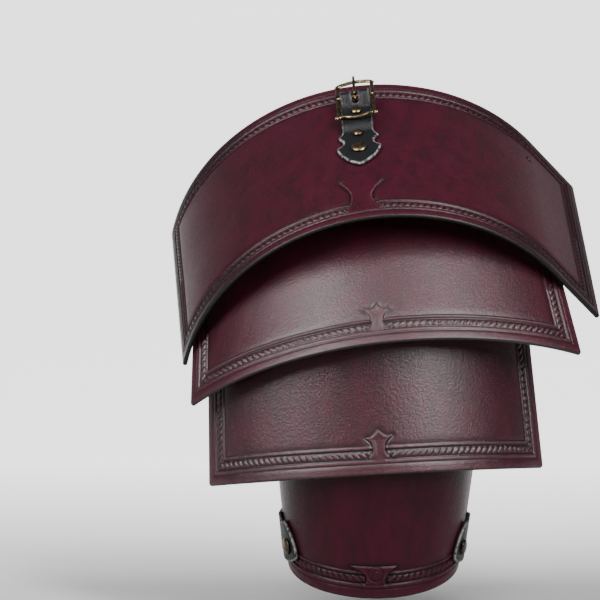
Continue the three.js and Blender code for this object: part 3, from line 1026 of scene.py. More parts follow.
class Shader:
    """Builds one material."""

    def __init__(self, name: str) -> None:
        """Starts a material.

        Args:
            name: its name.
        """
        self.material = bpy.data.materials.new(name)
        self.material.use_nodes = True
        self.tree = self.material.node_tree
        self.surface = self.tree.nodes["Principled BSDF"]
        self.where = self.node("ShaderNodeTexCoord").outputs["Object"]

    def node(self, kind: str, **settings: object) -> bpy.types.Node:
        """Adds a node.

        Args:
            kind: its type.
            settings: its properties.

        Returns:
            The node.
        """
        made = self.tree.nodes.new(kind)
        for key, value in settings.items():
            setattr(made, key, value)
        return made

    def put(self, value: object, socket: Socket) -> None:
        """Links an output to a socket, or sets a constant on it.

        Args:
            value: the output or the constant.
            socket: the socket.
        """
        if isinstance(value, Socket):
            self.tree.links.new(value, socket)
        elif isinstance(value, tuple) and len(value) == 3 and socket.type == "RGBA":
            socket.default_value = (*value, 1.0)
        else:
            socket.default_value = value

    def noise(self, size: Noise) -> Socket:
        """Noise from 0 to 1.

        Args:
            size: its sizes.

        Returns:
            Its output.
        """
        mapping = self.node("ShaderNodeMapping")
        mapping.inputs["Scale"].default_value = size.stretch
        self.put(self.where, mapping.inputs["Vector"])
        made = self.node("ShaderNodeTexNoise")
        made.inputs["Scale"].default_value = 1 / (size.size * MM)
        made.inputs["Detail"].default_value = size.detail
        made.inputs["Roughness"].default_value = size.rough
        made.inputs["Distortion"].default_value = size.warp
        self.put(mapping.outputs["Vector"], made.inputs["Vector"])
        return made.outputs["Fac"]

    def axis(self, name: str) -> Socket:
        """One coordinate, in metres.

        Args:
            name: X, Y or Z.

        Returns:
            Its output.
        """
        made = self.node("ShaderNodeSeparateXYZ")
        self.put(self.where, made.inputs[0])
        return made.outputs[name]

    def cells(self, size_mm: float) -> Socket:
        """Distance to the nearest of scattered points.

        Args:
            size_mm: about how far apart they are.

        Returns:
            Its output.
        """
        made = self.node("ShaderNodeTexVoronoi")
        made.inputs["Scale"].default_value = 1 / (size_mm * MM)
        self.put(self.where, made.inputs["Vector"])
        return made.outputs["Distance"]

    def mark(self, name: str) -> Socket:
        """A mark of the mesh."""
        return self.node("ShaderNodeAttribute", attribute_name=name).outputs["Fac"]

    def span(self, value: object, low: float, high: float, to_low: float = 0.0,
             to_high: float = 1.0) -> Socket:
        """Maps a range of values to another, clamped.

        Args:
            value: what is mapped.
            low, high: the range's ends.
            to_low, to_high: what they are mapped to.

        Returns:
            The mapped value.
        """
        made = self.node("ShaderNodeMapRange")
        self.put(value, made.inputs["Value"])
        for key, number in (("From Min", low), ("From Max", high), ("To Min", to_low), ("To Max", to_high)):
            made.inputs[key].default_value = number
        return made.outputs["Result"]

    def maths(self, operation: str, a: object, b: object) -> Socket:
        """One operation on two values.

        Args:
            operation: its name.
            a, b: the values.

        Returns:
            Its output.
        """
        made = self.node("ShaderNodeMath", operation=operation)
        self.put(a, made.inputs[0])
        self.put(b, made.inputs[1])
        return made.outputs[0]

    def mix(self, share: object, a: object, b: object) -> Socket:
        """Mixes two colours.

        Args:
            share: how much of the second there is.
            a, b: the colours.

        Returns:
            The mixed colour.
        """
        made = self.node("ShaderNodeMix", data_type="RGBA")
        self.put(share, made.inputs[0])
        self.put(a, made.inputs[6])
        self.put(b, made.inputs[7])
        return made.outputs[2]

    def product(self, *values: object) -> Socket:
        """The product of values.

        Args:
            values: the values, two or more.

        Returns:
            Its output.
        """
        found = values[0]
        for value in values[1:]:
            found = self.maths("MULTIPLY", found, value)
        return found

    def bump(self, height: object, size: Bump, share: float = 1.0, below: object = None) -> Socket:
        """A bump, on top of another.

        Args:
            height: its heights.
            size: its depth and strength.
            share: how much of that strength it has.
            below: the normal of the bump below it.

        Returns:
            The normal.
        """
        made = self.node("ShaderNodeBump")
        made.inputs["Distance"].default_value = size.depth * MM
        made.inputs["Strength"].default_value = size.strength * share
        self.put(height, made.inputs["Height"])
        if below is not None:
            self.put(below, made.inputs["Normal"])
        return made.outputs["Normal"]


def leather_material(name: str, finish: LeatherFinish) -> Material:
    """Dyed and worked leather.

    Args:
        name: the material's name.
        finish: its colours and shine.

    Returns:
        The material.
    """
    shader = Shader(name)
    sockets = shader.surface.inputs
    streaks, patches, fine = (shader.noise(size) for size in (STREAKS, PATCHES, FINE))
    colour = shader.mix(shader.span(streaks, *STREAK_SPAN), finish.dye, finish.mottle)
    colour = shader.mix(shader.span(patches, *PATCH_SPAN), colour, finish.bloom)
    colour = shader.mix(shader.span(fine, *FINE_SPAN), colour, finish.mottle)
    specks = shader.span(shader.cells(SPECK_SIZE), *SPECK_SPAN)
    specks = shader.product(specks, shader.span(streaks, *SPECKED_STREAKS))
    colour = shader.mix(shader.product(specks, SPECK_SHARE), colour, finish.groove_and_shade)
    scuffs = shader.span(shader.noise(SCUFFS), *SCUFF_SPAN)
    # Lighter ridges and edges are partly rubbing and partly a painted highlight; the dark colour of grooves
    # also carries painted shade on the top plate's border ends.
    worn_and_highlight, groove_and_shade, edge, flesh = (shader.mark(mark) for mark in ("worn_and_highlight", "groove_and_shade", "edge", "flesh"))
    colour = shader.mix(shader.product(scuffs, finish.wear_and_highlight_share, worn_and_highlight), colour, finish.worn_and_highlight)
    for mark, tone in ((groove_and_shade, finish.groove_and_shade), (edge, finish.edge), (flesh, finish.flesh)):
        colour = shader.mix(mark, colour, tone)
    shader.put(colour, sockets["Base Color"])
    rough = shader.span(fine, *SHINE_SPAN, *(finish.roughness + more for more in ROUGHER_BY))
    for mark, rougher in ((flesh, FLESH_ROUGHER), (specks, SPECKS_ROUGHER), (worn_and_highlight, WORN_ROUGHER)):
        rough = shader.maths("ADD", rough, shader.product(mark, rougher))
    shader.put(rough, sockets["Roughness"])
    sockets["Specular IOR Level"].default_value = finish.specular
    sockets["Coat Weight"].default_value = finish.coat
    sockets["Coat Roughness"].default_value = COAT_ROUGHNESS
    normal = shader.bump(shader.noise(FOLDS), FOLD_BUMP)
    normal = shader.bump(shader.cells(PEBBLE_SIZE), PEBBLE_BUMP, finish.grain, normal)
    normal = shader.bump(shader.noise(GRAIN), GRAIN_BUMP, finish.grain, normal)
    shader.put(normal, sockets["Normal"])
    return shader.material


def metal_material(name: str, finish: MetalFinish) -> Material:
    """Antique metal, dark in patches.

    Args:
        name: the material's name.
        finish: its colours and shine.

    Returns:
        The material.
    """
    shader = Shader(name)
    sockets = shader.surface.inputs
    patches = shader.noise(TARNISH)
    darkest = finish.darkening + TARNISH_MORE
    share = shader.span(patches, *TARNISH_SPAN, finish.darkening * TARNISH_LEAST, darkest)
    roughness = (finish.roughness + more for more in METAL_ROUGHER_BY)
    rough = shader.span(patches, *METAL_SHINE_SPAN, *roughness)
    shader.put(shader.mix(share, finish.bright, finish.dark), sockets["Base Color"])
    shader.put(rough, sockets["Roughness"])
    shader.put(shader.bump(shader.noise(METAL_GRAIN), METAL_BUMP), sockets["Normal"])
    sockets["Metallic"].default_value = 1.0
    return shader.material


@dataclass(frozen=True)
class Finishes:
    """The materials of the pauldron."""

    oxblood: Material
    shaded_top: Material
    shaded_cuff: Material
    black: Material
    brass: Material
    tarnished: Material


def make_finishes() -> Finishes:
    """Makes the materials.

    Returns:
        The materials.
    """
    return Finishes(
        oxblood=leather_material("oxblood leather", OXBLOOD),
        # The next two are shaded copies with less sheen: painted shade on the top plate and the cuff.
        shaded_top=leather_material("oxblood leather, shaded copy for the top plate", OXBLOOD_SHADED_TOP),
        shaded_cuff=leather_material("oxblood leather, shaded copy for the cuff", OXBLOOD_SHADED_CUFF),
        black=leather_material("black leather", BLACK),
        brass=metal_material("antique brass", BRASS),
        tarnished=metal_material("tarnished brass", TARNISHED),
    )


# Tooled plates


class TooledPlate:
    """One oxblood plate with its tooled border and emblem."""

    FACE_STEP = 0.72
    OUTER_STEP = 1.4 * FACE_STEP
    EMBLEM_STEP = 0.42
    FIELD_STEP = 2.6
    BACK_STEP = 5.0
    BACK_ROW_STEP = 2.5
    LINE_STEP = 0.3
    OUTER_ROWS = (0.25, 0.6, 1.1, 2.2, 4.0, 5.6)
    BORDER_ROWS = (6.3, *np.arange(6.8, BORDER.reach - 2.6, 0.48), 20.6, 21.6, 23.0)
    BACK_ROWS = (0.4, 1.2, 4.0)
    HOLE_ROWS = (0.3, 0.8, 1.5)
    FIELD_INSET = 24.2
    BACK_INSET = 6.5
    RIM_ROWS_TO = 1.2
    HOLE_CLEAR = 1.9
    BACK_HOLE_CLEAR = 0.8
    HOLE_SIDES = 28
    HOLE_ROW_SIDES = 30
    EDGE_ROUND = 1.1
    EMBLEM_MARGIN = 3.2
    EMBLEM_BLEND = 0.4
    # Painted shade: the top plate's border is darkened towards its ends, in the dark colour of grooves.
    PAINTED_SHADE = 0.75
    PAINTED_SHADE_INSETS = (15, 20)
    PAINTED_SHADE_ACROSS = (45, 110)
    WAVES = ((0.10, 17, 29, 0.0), (0.08, -37, 13, 1.3))
    WAVES_FROM = (2, 14)
    PATCH_FROM = 1.3
    RINGS_KEPT_TO = 1.4
    SPARSE = 5
    TOOLED_FROM = (0.8, 2.2)
    GROOVE_FULL = 0.62
    # Ridges, edges and emblem rims are painted lighter: partly rubbing, partly a painted highlight.
    RIDGE_FULL = 0.22
    EDGE_WEAR_AND_HIGHLIGHT = (0.5, 1.7, 0.7)
    OPEN_RIM_WEAR_AND_HIGHLIGHT = 1.6
    EMBLEM_FADE = 0.6
    EMBLEM_SIDE = 0.8
    EMBLEM_TOP = 2.5
    RIM_RISE = 0.3
    RIM_FROM = (-0.3, 0.35)
    RIM_TO = (0.9, 3.2)
    RIM_CUTS = ((0.7, -0.85, 0.5), (0.22, -2.0, 0.9))
    RIM_WEAR_AND_HIGHLIGHT = (0.25, 0.45)
    KNOT_CUT = (0.5, 0.6, 0.5)
    KNOT_DOME = 0.55
    KNOT_COIL = 0.35
    KNOT_TURNS = 3.0
    BURNISHED = (0.35, 1.0)
    BACK_BURNISHED = (0.6, 1.8)
    FLESH_FROM = (0.8, 2.0)
    ROW_SLACK = 0.3
    CORNER_ANGLES = np.arange(0, 90, 15)

    def __init__(self, name: str, size: PlateSize, emblem: EmblemSize, top_border: bool,
                 holes: Sequence[Pair] = ()) -> None:
        """Prepares the plate's surface and its emblem's lines.

        Args:
            name: the frame's node that it stands for.
            size: its sizes.
            emblem: its emblem.
            top_border: whether the border runs along the upper edge too.
            holes: lacing holes, as (across, height over the lower edge).
        """
        self.name = name
        self.size = size
        self.surface = PlateSurface(size)
        self.top_border = top_border
        self.holes = holes
        self.sides = [path_through(points, self.LINE_STEP) for points in (emblem.left, emblem.right)]
        self.crowned = bool(emblem.crown)
        self.lines = [*self.sides]
        if self.crowned:
            self.lines.append(path_through(emblem.crown, self.LINE_STEP))
        self.knot = emblem.knot
        drawn = np.vstack(self.lines)
        self.low = drawn.min(0) - self.EMBLEM_MARGIN
        self.high = drawn.max(0) + self.EMBLEM_MARGIN
        self.middle = float(drawn[:, 0].mean())

    def build(self, material: Material) -> bpy.types.Object:
        """Makes the plate.

        Args:
            material: its leather.

        Returns:
            The object.
        """
        round_the_hole = np.linspace(0, -2 * math.pi, self.HOLE_SIDES, endpoint=False)
        loops = [self._ring(0.0, self.FACE_STEP)]
        loops += [arc(hole, LACING_RADIUS, round_the_hole) for hole in self.holes]
        pattern = Pattern(loops, self._face_points(), self._back_points(), convex=True)
        made = leather_sheet(self.name + "_leather", pattern, self._face, self._back, self._place, material)
        return finish_piece(made, Body.PLATES, Slot.OXBLOOD, self.name)

    def _ring(self, inset: float, step: float) -> np.ndarray:
        """A loop at an inset from the plate's edge.

        Args:
            inset: how far inside the edge it runs.
            step: about how far apart its points are.

        Returns:
            Its points, as (across, height over the lower edge).
        """
        half = self.size.half_length - inset
        r = max(self.size.corner - inset, 0.0)
        low, reach = inset, half - r
        high = self.surface.tall(self.size.half_length) - inset
        top = between((reach, 0), (-reach, 0), step)
        top[:, 1] = high + self.surface.tall(top[:, 0]) - self.surface.tall(reach)
        sides = (
            between((-reach, low), (reach, low), step), between((half, low + r), (half, high - r), step),
            top, between((-half, high - r), (-half, low + r), step),
        )
        corners = ((reach, low + r), (reach, high - r), (-reach, high - r), (-reach, low + r))
        parts = []
        for side, corner, start in zip(sides, corners, (-90, 0, 90, 180)):
            parts.append(side)
            if r:
                parts.append(arc(corner, r, np.radians(start + self.CORNER_ANGLES)))
        return np.vstack(parts)

    def _insets(self, flat: np.ndarray) -> tuple[np.ndarray, np.ndarray, np.ndarray]:
        """Distances from the nearest side, from the lower edge and from the upper edge.

        Args:
            flat: pattern points.

        Returns:
            The three distances of each point.
        """
        s, t = flat[:, 0], flat[:, 1]
        side = self.size.half_length - np.abs(s)
        return side, t, self.surface.tall(s) - t

    def _edge_distance(self, flat: np.ndarray) -> np.ndarray:
        """Distance from the rounded outline and from the lacing holes.

        Args:
            flat: pattern points.

        Returns:
            One distance for each point.
        """
        side, low, high = self._insets(flat)
        near = np.minimum(low, high)
        r = self.size.corner
        corner = (side < r) & (near < r)
        found = np.where(corner, r - np.hypot(r - side, r - near), np.minimum(side, near))
        for s, v in self.holes:
            found = np.minimum(found, np.hypot(flat[:, 0] - s, flat[:, 1] - v) - LACING_RADIUS)
        return np.maximum(found, 0)

    def _face_points(self) -> np.ndarray:
        """Points of the worked face: rings along the border, a fine patch at the emblem, and the field.

        Returns:
            The points.
        """
        found = [self._follow(inset, self.OUTER_STEP) for inset in self.OUTER_ROWS]
        found += [self._follow(inset, self.FACE_STEP) for inset in self.BORDER_ROWS]
        points = np.vstack([*found, self._field(self.FIELD_STEP, self.FIELD_INSET)])
        patch = lattice(tuple(self.low), tuple(self.high), self.EMBLEM_STEP)
        patch[:, 1] -= self.surface.lower(patch[:, 0])
        patch = patch[(patch[:, 1] > self.PATCH_FROM) & self._near_emblem(patch)]
        kept = ~self._near_emblem(points) | (points[:, 1] < self.RINGS_KEPT_TO)
        points = np.vstack([points[kept], patch])
        round_the_hole = np.linspace(0, 2 * math.pi, self.HOLE_ROW_SIDES, endpoint=False)
        for hole in self.holes:
            points = self._clear_of(points, hole, self.HOLE_CLEAR)
            rows = [arc(hole, LACING_RADIUS + more, round_the_hole) for more in self.HOLE_ROWS]
            points = np.vstack([points, *rows])
        return points

    def _back_points(self) -> np.ndarray:
        """Points of the flesh side.

        Returns:
            The points.
        """
        found = [self._ring(inset, self.BACK_ROW_STEP) for inset in self.BACK_ROWS]
        points = np.vstack([*found, self._field(self.BACK_STEP, self.BACK_INSET)])
        for hole in self.holes:
            points = self._clear_of(points, hole, self.BACK_HOLE_CLEAR)
        return points

    def _follow(self, inset: float, step: float) -> np.ndarray:
        """A ring of the face, which is sparse along an upper edge that has no border.

        Args:
            inset: how far inside the edge it runs.
            step: about how far apart its points are.

        Returns:
            Its points.
        """
        ring = self._ring(inset, step)
        if self.top_border or inset <= self.RIM_ROWS_TO:
            return ring
        side, low, _ = self._insets(ring)
        bordered = np.minimum(side, low) < inset + self.ROW_SLACK
        return ring[bordered | (np.arange(len(ring)) % self.SPARSE == 0)]

    def _field(self, step: float, inset: float) -> np.ndarray:
        """A grid of points over the plate, at an inset from its edges."""
        grid = lattice((-self.size.half_length, 0), (self.size.half_length, self.size.height), step)
        return grid[np.min(self._insets(grid), axis=0) > inset]

    @staticmethod
    def _clear_of(points: np.ndarray, hole: Pair, gap: float) -> np.ndarray:
        """The points that are further than a gap from a hole's rim."""
        return points[np.hypot(points[:, 0] - hole[0], points[:, 1] - hole[1]) > LACING_RADIUS + gap]

    def _near_emblem(self, flat: np.ndarray) -> np.ndarray:
        """Whether pattern points lie in the emblem's patch."""
        s, v = flat[:, 0], flat[:, 1] + self.surface.lower(flat[:, 0])
        return (s > self.low[0]) & (s < self.high[0]) & (v > self.low[1]) & (v < self.high[1])

    def _border(self, flat: np.ndarray) -> tuple[np.ndarray, np.ndarray]:
        """The tooled border.

        Args:
            flat: pattern points.

        Returns:
            Its heights, and the distances from the edges that it follows.
        """
        side, low, high = self._insets(flat)
        if not self.top_border:
            high = np.full_like(high, FAR)
        distance = np.minimum(np.minimum(side, low), high)
        knots = np.array(BORDER.profile)
        heights = np.interp(distance, knots[:, 0], knots[:, 1])
        along_side = side <= np.minimum(low, high)
        position = np.where(along_side, flat[:, 1], flat[:, 0] - self.middle)
        hand = np.where(along_side, np.sign(flat[:, 0]), np.sign(flat[:, 0] - self.middle))
        hand = np.where(high < low, -hand, hand)
        off = distance - BORDER.rope_at
        phase = (position + hand * np.where(along_side, -1, 1) * BORDER.rope_slant * off) / BORDER.rope_pitch
        lobe = np.sqrt(np.clip(1 - (2 * (phase % 1) - 1) ** 2, 0, 1))
        across = np.sqrt(np.clip(1 - (off / BORDER.rope_half) ** 2, 0, 1))
        return heights + BORDER.rope_rise * across * lobe, distance

    def _emblem(self, s: np.ndarray, v: np.ndarray, distance: np.ndarray) -> tuple[np.ndarray, ...]:
        """The tooled emblem.

        Args:
            s, v: points on the plate.
            distance: their distances from the edges that the border follows.

        Returns:
            Its heights, how far points are inside it, and how close to its rim they are.
        """
        left, right = (np.interp(v, side[:, 1], side[:, 0]) for side in self.sides)
        kept = self._past_margin(distance, self.EMBLEM_BLEND)
        tip = min(side[-1, 1] for side in self.sides)
        within = smooth(s - left, 0.0, self.EMBLEM_SIDE) * smooth(right - s, 0.0, self.EMBLEM_SIDE) * kept
        within *= 1 - smooth(v, tip, tip + self.EMBLEM_TOP)
        points = np.stack([s, v], 1)
        filled = self._filled(points)
        gap = np.min([distance_to(points, line) for line in self.lines], axis=0)
        depth = np.where(filled, gap, -gap)
        lines = self.RIM_RISE * smooth(depth, *self.RIM_FROM) * (1 - smooth(depth, *self.RIM_TO))
        for deep, at, width in self.RIM_CUTS:
            lines -= deep * bell(depth, at, width)
        if self.knot:
            cs, cv, radius = self.knot
            out = np.hypot(s - cs, v - cv)
            dome = np.sqrt(np.clip(1 - (out / radius) ** 2, 0, 1))
            coil = (1 + np.cos(self.KNOT_TURNS * out - np.arctan2(v - cv, s - cs))) / 2
            deep, past, width = self.KNOT_CUT
            lines -= deep * bell(out, radius + past, width)
            lines = np.where(out < radius, self.KNOT_DOME * dome - self.KNOT_COIL * coil, lines)
        return lines, np.maximum(within, filled * kept), bell(depth, *self.RIM_WEAR_AND_HIGHLIGHT)

    @staticmethod
    def _past_margin(distance: np.ndarray, blend: float) -> np.ndarray:
        """How far inside the border's plain margin points are, from 0 to 1."""
        return smooth(distance, BORDER.outer_end - blend, BORDER.outer_end + blend)

    def _filled(self, points: np.ndarray) -> np.ndarray:
        """Whether points lie between the emblem's sides, under its crown."""
        crown = self.lines[2] if self.crowned else np.array([self.sides[0][-1], self.sides[1][-1]])
        return inside(points, np.vstack([self.sides[0], crown, self.sides[1][::-1]]))

    def _face(self, flat: np.ndarray) -> tuple[np.ndarray, Marks]:
        """The worked face.

        Args:
            flat: pattern points.

        Returns:
            Their heights and marks.
        """
        height, distance = self._border(flat)
        s, v = flat[:, 0], flat[:, 1] + self.surface.lower(flat[:, 0])
        near = self._near_emblem(flat)
        lines, within, rim = self._emblem(s[near], v[near], distance[near])
        kept = self._past_margin(distance[near], self.EMBLEM_FADE)
        height[near] = height[near] * (1 - within) + lines * kept
        edge = self._edge_distance(flat)
        ends = smooth(edge, *self.TOOLED_FROM)
        groove_and_shade = np.clip(-height / self.GROOVE_FULL, 0, 1) * ends
        # Painted shade: the top plate's border is darkened towards its ends.
        if self.top_border:
            painted_shade = self.PAINTED_SHADE * (1 - smooth(distance, *self.PAINTED_SHADE_INSETS))
            painted_shade *= smooth(np.abs(s), *self.PAINTED_SHADE_ACROSS)
            groove_and_shade = np.maximum(groove_and_shade, painted_shade)
        # Ridges, edges and emblem rims are painted lighter: partly rubbing, partly a painted highlight.
        wear_and_highlight_share, at, width = self.EDGE_WEAR_AND_HIGHLIGHT
        worn_and_highlight = np.clip(height / self.RIDGE_FULL, 0, 1) * ends + wear_and_highlight_share * bell(edge, at, width)
        worn_and_highlight[near] *= 1 - within
        worn_and_highlight[near] += within * kept * rim * (1.0 if self.crowned else self.OPEN_RIM_WEAR_AND_HIGHLIGHT)
        waves = sum(high * np.sin(s / across + v / up + start) for high, across, up, start in self.WAVES)
        height = height * ends + waves * smooth(edge, *self.WAVES_FROM) - rounding(edge, self.EDGE_ROUND)
        burnish = 1 - smooth(edge, *self.BURNISHED)
        return height, {"groove_and_shade": groove_and_shade, "worn_and_highlight": worn_and_highlight, "edge": burnish, "flesh": np.zeros(len(flat))}

    def _back(self, flat: np.ndarray) -> tuple[np.ndarray, Marks]:
        """The flesh side.

        Args:
            flat: pattern points.

        Returns:
            Their heights and marks.
        """
        edge = self._edge_distance(flat)
        height = rounding(edge, self.EDGE_ROUND) - self.size.thickness
        burnish = 1 - smooth(edge, *self.BACK_BURNISHED)
        flesh = smooth(edge, *self.FLESH_FROM)
        none = np.zeros(len(flat))
        return height, {"groove_and_shade": none, "worn_and_highlight": none, "edge": burnish, "flesh": flesh}

    def _place(self, flat: np.ndarray, height: np.ndarray) -> np.ndarray:
        """Pattern points in space."""
        s = flat[:, 0]
        return self.surface.place(s, flat[:, 1] + self.surface.lower(s), height)


# Straps, buckle and rivets


class Strap:
    """A black strap laid along a track, with or without a shield end."""

    STEP = 0.8
    BACK_STEP = 2.0
    OUTLINE_STEP = 0.5
    HIDDEN_STEP = 1.2
    END_STEP = 1.0
    EDGE_ROWS = (0.25, 0.6, 1.0, 1.5, 2.0, 2.5)
    ROWS_CLEAR = 0.2
    FIELD_CLEAR = 3.0
    EDGE_ROUND = 0.85
    LINE = (2.0, 0.35)
    LINE_DEPTH = 0.28
    LINE_DARK = 0.8
    LIP = (1.2, 0.45)
    LIP_RISE = 0.08
    PRESSED_FROM = (0.5, 1.0)
    # Lighter cut edge: partly rubbing, partly a painted highlight.
    CUT_EDGE_WEAR_AND_HIGHLIGHT = (0.45, 0.62)
    WEAR_AND_HIGHLIGHT_LESS = 0.75
    BACK_EDGE = 0.5
    FLESH_FROM = (0.8, 2.0)
    DIMPLE_DEPTH = 0.4
    DIMPLE_WIDTH = 5.2
    WEAR_AND_HIGHLIGHT_TO = (36, 41)
    FIELD_SHARE = 1.25
    FINE_PAST = 10
    SPARSE = 3
    LAST_GAP = 1.0

    def __init__(self, name: str, track: Track, half: Callable[[np.ndarray], np.ndarray], fine_until: float,
                 nodes: tuple[str, ...], slot_hole: Pair | None = None,
                 dimples: Sequence[float] = ()) -> None:
        """Prepares the strap.

        Args:
            name: the object's name.
            track: the surface of its middle.
            half: half-widths by distance along.
            fine_until: how far along it shows and is worked finely.
            nodes: the frame's nodes that it stands for.
            slot_hole: start and end along of a tongue's slot.
            dimples: distances along at which rivets press it in.
        """
        self.name, self.track, self.half = name, track, half
        self.fine_until, self.nodes, self.dimples = fine_until, nodes, dimples
        self.loops = [self._outline()]
        if slot_hole:
            self.loops.append(self._slot(*slot_hole))

    def build(self, material: Material) -> bpy.types.Object:
        """Makes the strap.

        Args:
            material: its leather.

        Returns:
            The object.
        """
        pattern = Pattern(self.loops, self._points(self.STEP), self._points(self.BACK_STEP), convex=False)
        made = leather_sheet(self.name, pattern, self._face, self._back, self._place, material)
        return finish_piece(made, Body.PLATES, Slot.BLACK, *self.nodes)

    def _place(self, flat: np.ndarray, height: np.ndarray) -> np.ndarray:
        """Pattern points in space."""
        return self.track.place(flat[:, 0], flat[:, 1], height)

    def _outline(self) -> np.ndarray:
        """The outline, anticlockwise.

        Returns:
            Its corners, as (along, aside).
        """
        fine = np.arange(0, self.fine_until, self.OUTLINE_STEP)
        coarse = np.arange(self.fine_until, self.track.length - self.LAST_GAP, self.HIDDEN_STEP)
        along = np.concatenate([fine, coarse, [self.track.length]])
        half = self.half(along)
        right, left = np.stack([along, -half], 1), np.stack([along, half], 1)[::-1]
        return np.vstack([right, self._end(along[-1], half[-1]), left, self._end(0.0, -half[0])])

    def _end(self, along: float, reach: float) -> np.ndarray:
        """Corners between the outer two of an end cut straight across, from -reach to reach."""
        count = max(2, round(2 * abs(reach) / self.END_STEP))
        return np.array([(along, reach * (2 * k / count - 1)) for k in range(1, count)])

    def _slot(self, start: float, end: float) -> np.ndarray:
        """The tongue's slot, clockwise.

        Args:
            start, end: where it is along.

        Returns:
            Its corners.
        """
        r = BUCKLE.slot_width / 2
        turn = np.radians(np.arange(90, 271, 15))
        sides = np.arange(start + r + self.STEP, end - r, self.STEP)
        low, high = arc((start + r, 0), r, turn), arc((end - r, 0), -r, turn)
        near, far = (np.stack([sides, np.full_like(sides, y)], 1) for y in (-r, r))
        return np.vstack([low, near, high, far[::-1]])[::-1]

    def _points(self, step: float) -> np.ndarray:
        """Points inside the outline, with rows close to its edges.

        Args:
            step: about how far apart they are.

        Returns:
            The points.
        """
        found = []
        for loop in self.loops:
            ahead = np.roll(loop, -1, axis=0) - np.roll(loop, 1, axis=0)
            inward = np.stack([-ahead[:, 1], ahead[:, 0]], 1)
            inward /= np.maximum(np.linalg.norm(ahead, axis=1), TINY)[:, None]
            found += [loop + inward * inset for inset in self.EDGE_ROWS]
        rows = np.vstack(found)
        field = lattice((0, -Track.REACH), (self.track.length, Track.REACH), step * self.FIELD_SHARE)
        if step < self.BACK_STEP:
            shown = field[:, 0] < self.fine_until + self.FINE_PAST
            field = field[shown | (np.arange(len(field)) % self.SPARSE == 0)]
        kept = []
        for part, clear in ((rows, self.ROWS_CLEAR), (field, self.FIELD_CLEAR)):
            part = part[self._inside(part)]
            kept.append(part[self._gap(part) > clear])
        return np.vstack(kept)

    def _inside(self, flat: np.ndarray) -> np.ndarray:
        """Whether pattern points lie inside the outline and outside the slot.

        Args:
            flat: pattern points.

        Returns:
            One truth value for each point.
        """
        within = inside(flat, self.loops[0])
        for hole in self.loops[1:]:
            within &= ~inside(flat, hole)
        return within

    def _gap(self, flat: np.ndarray) -> np.ndarray:
        """Distance from the cut edges."""
        return np.min([distance_to(flat, loop, closed=True) for loop in self.loops], axis=0)

    def _face(self, flat: np.ndarray) -> tuple[np.ndarray, Marks]:
        """The grain side.

        Args:
            flat: pattern points.

        Returns:
            Their heights and marks.
        """
        edge = self._gap(flat)
        line = bell(edge, *self.LINE)
        pressed = self.LIP_RISE * bell(edge, *self.LIP) - self.LINE_DEPTH * line
        height = STRAP.thickness / 2 - rounding(edge, self.EDGE_ROUND)
        height += pressed * smooth(edge, *self.PRESSED_FROM)
        for along in self.dimples:
            away = np.hypot(flat[:, 0] - along, flat[:, 1])
            height -= self.DIMPLE_DEPTH * bell(away, 0, self.DIMPLE_WIDTH)
        # A painted highlight along the cut edge, partly rubbing, mostly at the shield end.
        worn_and_highlight = bell(edge, *self.CUT_EDGE_WEAR_AND_HIGHLIGHT) * (1 - self.WEAR_AND_HIGHLIGHT_LESS * smooth(flat[:, 0], *self.WEAR_AND_HIGHLIGHT_TO))
        none = np.zeros(len(flat))
        return height, {"groove_and_shade": self.LINE_DARK * line, "worn_and_highlight": worn_and_highlight, "edge": none, "flesh": none}

    def _back(self, flat: np.ndarray) -> tuple[np.ndarray, Marks]:
        """The flesh side.

        Args:
            flat: pattern points.

        Returns:
            Their heights and marks.
        """
        edge = self._gap(flat)
        none = np.zeros(len(flat))
        height = rounding(edge, self.EDGE_ROUND) - STRAP.thickness / 2
        rim, flesh = self.BACK_EDGE * bell(edge, 0, self.BACK_EDGE), smooth(edge, *self.FLESH_FROM)
        return height, {"groove_and_shade": none, "worn_and_highlight": none, "edge": rim, "flesh": flesh}


def shield_half(along: np.ndarray) -> np.ndarray:
    """Half-widths of a strap with a shield end.

    Args:
        along: distances from the tip.

    Returns:
        The half-widths.
    """
    knots = np.array(STRAP.shield)
    reach = knots[-1, 0]
    found = curve_through(knots[:, 0], knots[:, 1], np.minimum(along, reach))
    return np.where(along < reach, found, STRAP.width / 2)


class Buckling:
    """The buckle's own frame on the top plate."""

    def __init__(self) -> None:
        """Works out the frame."""
        plate = PlateSurface(TOP)
        basis = np.array([d[0] for d in plate.directions(TAB.bar_across)]).T
        turn, cant = rotation(-BUCKLE.turn, 0, 1), rotation(-BUCKLE.cant, 2, 0)
        self.basis = basis @ turn @ cant @ rotation(BUCKLE.lift, 1, 2)
        self.origin = plate.place(TAB.bar_across, TAB.bar, TAB.bar_off)[0]

    def place(self, points: np.ndarray) -> np.ndarray:
        """Points of the buckle's frame in mm."""
        return self.origin + np.asarray(points, float) @ self.basis.T


